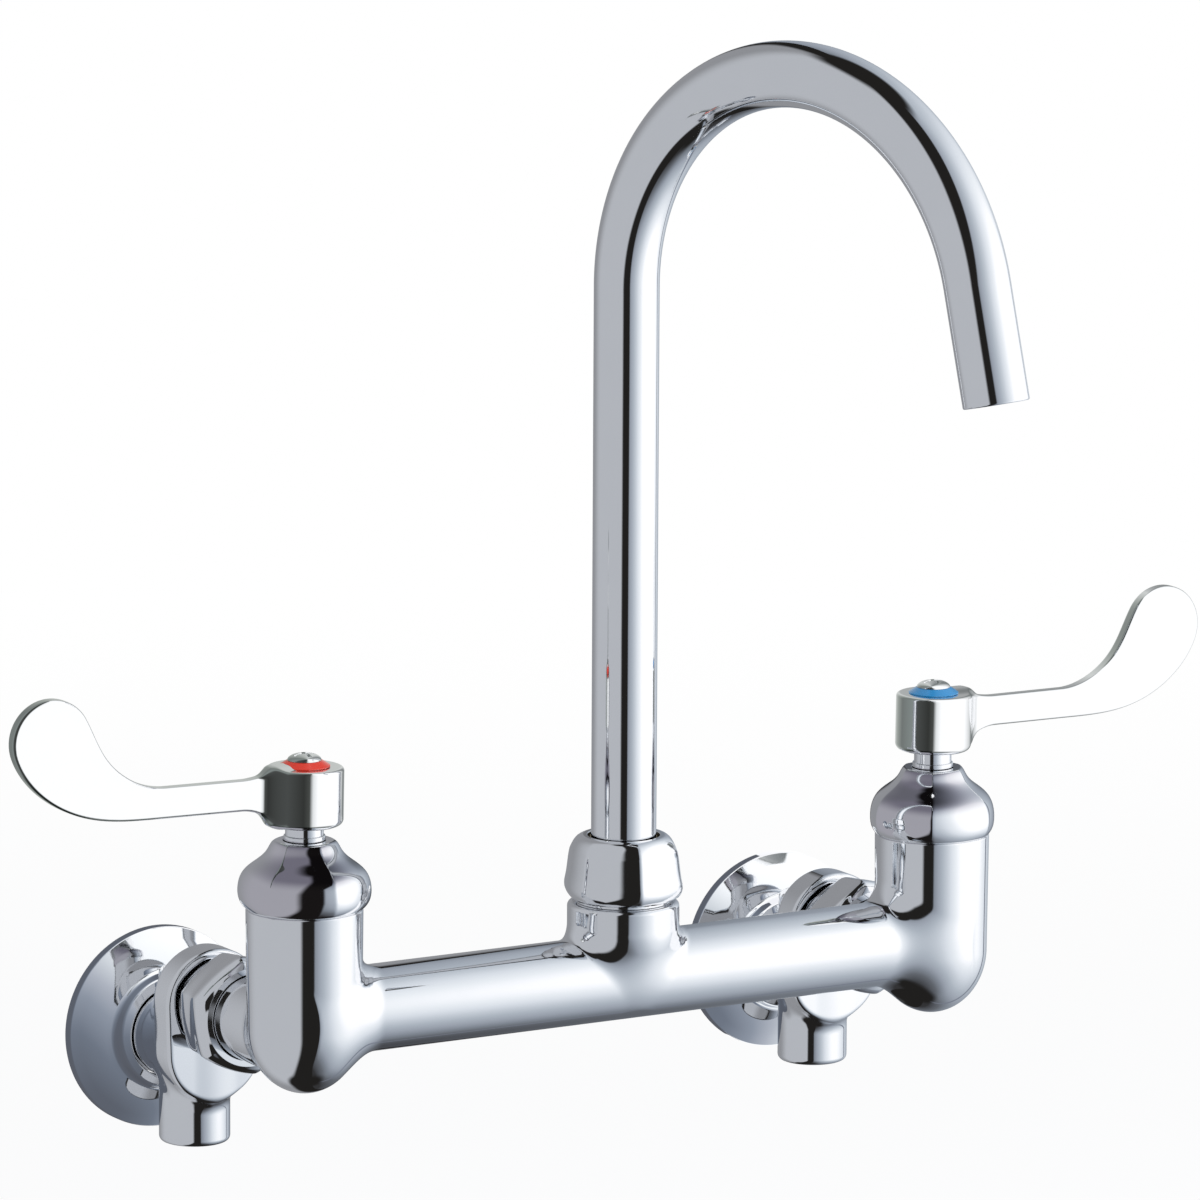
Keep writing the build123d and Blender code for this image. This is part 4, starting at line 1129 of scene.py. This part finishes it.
# A ball of light that shines on its own pieces only; the inner balls let the others' light through
def makeTent(name, radius, pieces, cloth, look, inner=True):
    rise = np.linspace(-np.pi / 2, np.pi / 2, 48)
    ball, _ = circles(np.stack([np.cos(rise), np.sin(rise), 0 * rise, 0 * rise], -1), fullTurn(96))
    points = (np.array(studio["centre"]) + radius * ball).reshape(-1, 3) / mm
    tent = makeObject(f"{name}_tent", points, -ball.reshape(-1, 3), ringQuads(ringIndex(ball))[:, ::-1])
    material, tree = newMaterial(f"{name}_cloth")
    away = addNode(tree, "VectorMath", {0: spotOf(tree), 1: studio["centre"]}, {"operation": "SUBTRACT"})

    def dot(way):
        return addNode(tree, "VectorMath", {0: away, 1: way}, {"operation": "DOT_PRODUCT"}, 1)

    front, right = [dot(tuple(way)) for way in levelWays()]
    degree = 180 / np.pi
    azimuth = right.math("ARCTAN2", front) * degree
    elevation = (dot((0, 0, 1)) / radius).math("ARCSINE") * degree
    glow = addNode(tree, "Emission", {"Color": cloth(tree, look, azimuth, elevation), "Strength": 1.0})
    if inner:
        glow = addNode(tree, "AddShader", {0: glow, 1: addNode(tree, "BsdfTransparent", {"Color": white})})
    finishTree(tree, glow)
    tent.data.materials.append(material)
    for kind in ("camera", "diffuse", "transmission", "volume_scatter", "shadow"):
        setattr(tent, f"visible_{kind}", False)
    seers = bpy.data.collections.new(f"{name}_seers")
    for piece in pieces:
        seers.objects.link(piece)
    tent.light_linking.receiver_collection = seers


# Camera, glossy and transmission rays count alike, so that metal shows the background that the camera sees
def seenDirectly(tree):
    path = tree.nodes.new("ShaderNodeLightPath")
    kinds = [Value(tree, path.outputs[f"Is {kind} Ray"]) for kind in ("Camera", "Glossy", "Transmission")]
    return (kinds[0] + kinds[1] + kinds[2]).math("MINIMUM", 1.0)


def makeWorld():
    world = bpy.data.worlds.new("studio")
    bpy.context.scene.world = world
    world.use_nodes = True
    tree = world.node_tree
    tree.nodes.clear()
    seen = addNode(tree, "Background", {"Color": white, "Strength": 1.0})
    room = addNode(tree, "Background", {"Color": (0.94, 0.96, 1, 1), "Strength": 0.62})
    finishTree(tree, addNode(tree, "MixShader", {0: seenDirectly(tree), 1: room, 2: seen}), "World")


# A pale floor well below the faucet: it takes the shadow near the faucet and fades to plain white further out
def makeFloor():
    s = Form(**studio)
    half, z = s.floorSize / 2, s.floorZ
    mesh = bpy.data.meshes.new("floor")
    corners = [(-half, -half, z), (half, -half, z), (half, half, z), (-half, half, z)]
    mesh.from_pydata(corners, [], [(0, 1, 2, 3)])
    floor = bpy.data.objects.new("floor", mesh)
    bpy.context.scene.collection.objects.link(floor)
    material, tree = newMaterial("pale_floor")
    away = addNode(tree, "VectorMath", {0: spotOf(tree)}, {"operation": "LENGTH"}, 1)
    lit = addNode(tree, "BsdfDiffuse", {"Color": (0.98, 0.98, 0.98, 1)})
    plain = 1 - s.keepShadow * (1 - eased(away, s.fadeFrom, s.fadeTo))
    bright = addNode(tree, "Emission", {"Color": white, "Strength": 1.0})
    finishTree(tree, addNode(tree, "MixShader", {0: plain * seenDirectly(tree), 1: lit, 2: bright}))
    mesh.materials.append(material)
    floor.visible_glossy = False


# Azimuth, elevation, distance, side and power; the tents stand for the lamps' reflections
lamps = {"key": (80, 32, 1.7, 1.3, 26.0), "fill": (-75, 25, 1.7, 1.3, 9.0)}


def makeLamp(name, azimuth, elevation, distance, side, power):
    turn, rise = np.radians([azimuth, elevation])
    front, right = levelWays()
    way = (np.cos(turn) * front + np.sin(turn) * right) * np.cos(rise) + np.array([0, 0, np.sin(rise)])
    light = bpy.data.lights.new(name, "AREA")
    light.size, light.energy = side, power
    lamp = bpy.data.objects.new(name, light)
    lamp.location = Vector(np.array(studio["centre"]) + np.array([0, 0, 0.08]) + distance * way)
    lamp.rotation_euler = Vector(-way).to_track_quat("-Z", "Y").to_euler()
    lamp.visible_glossy = False
    bpy.context.scene.collection.objects.link(lamp)


apart = [piece for pieces in ownLight.values() for piece in pieces]
castings = [thing for thing in bpy.context.scene.objects if thing.type == "MESH" and thing not in apart]
makeTent("casting", 0.6, castings, panelCloth, studio, False)
makeTent("bonnet", 0.59, ownLight["bonnet"], panelCloth, bonnetStudio)
makeTent("handle", 0.58, ownLight["handle"], sweepCloth, handleSweep)
makeTent("flange", 0.57, ownLight["flange"], sweepCloth, flangeSweep)
makeWorld()
makeFloor()
for lampName, values in lamps.items():
    makeLamp(lampName, *values)
print("studio made")
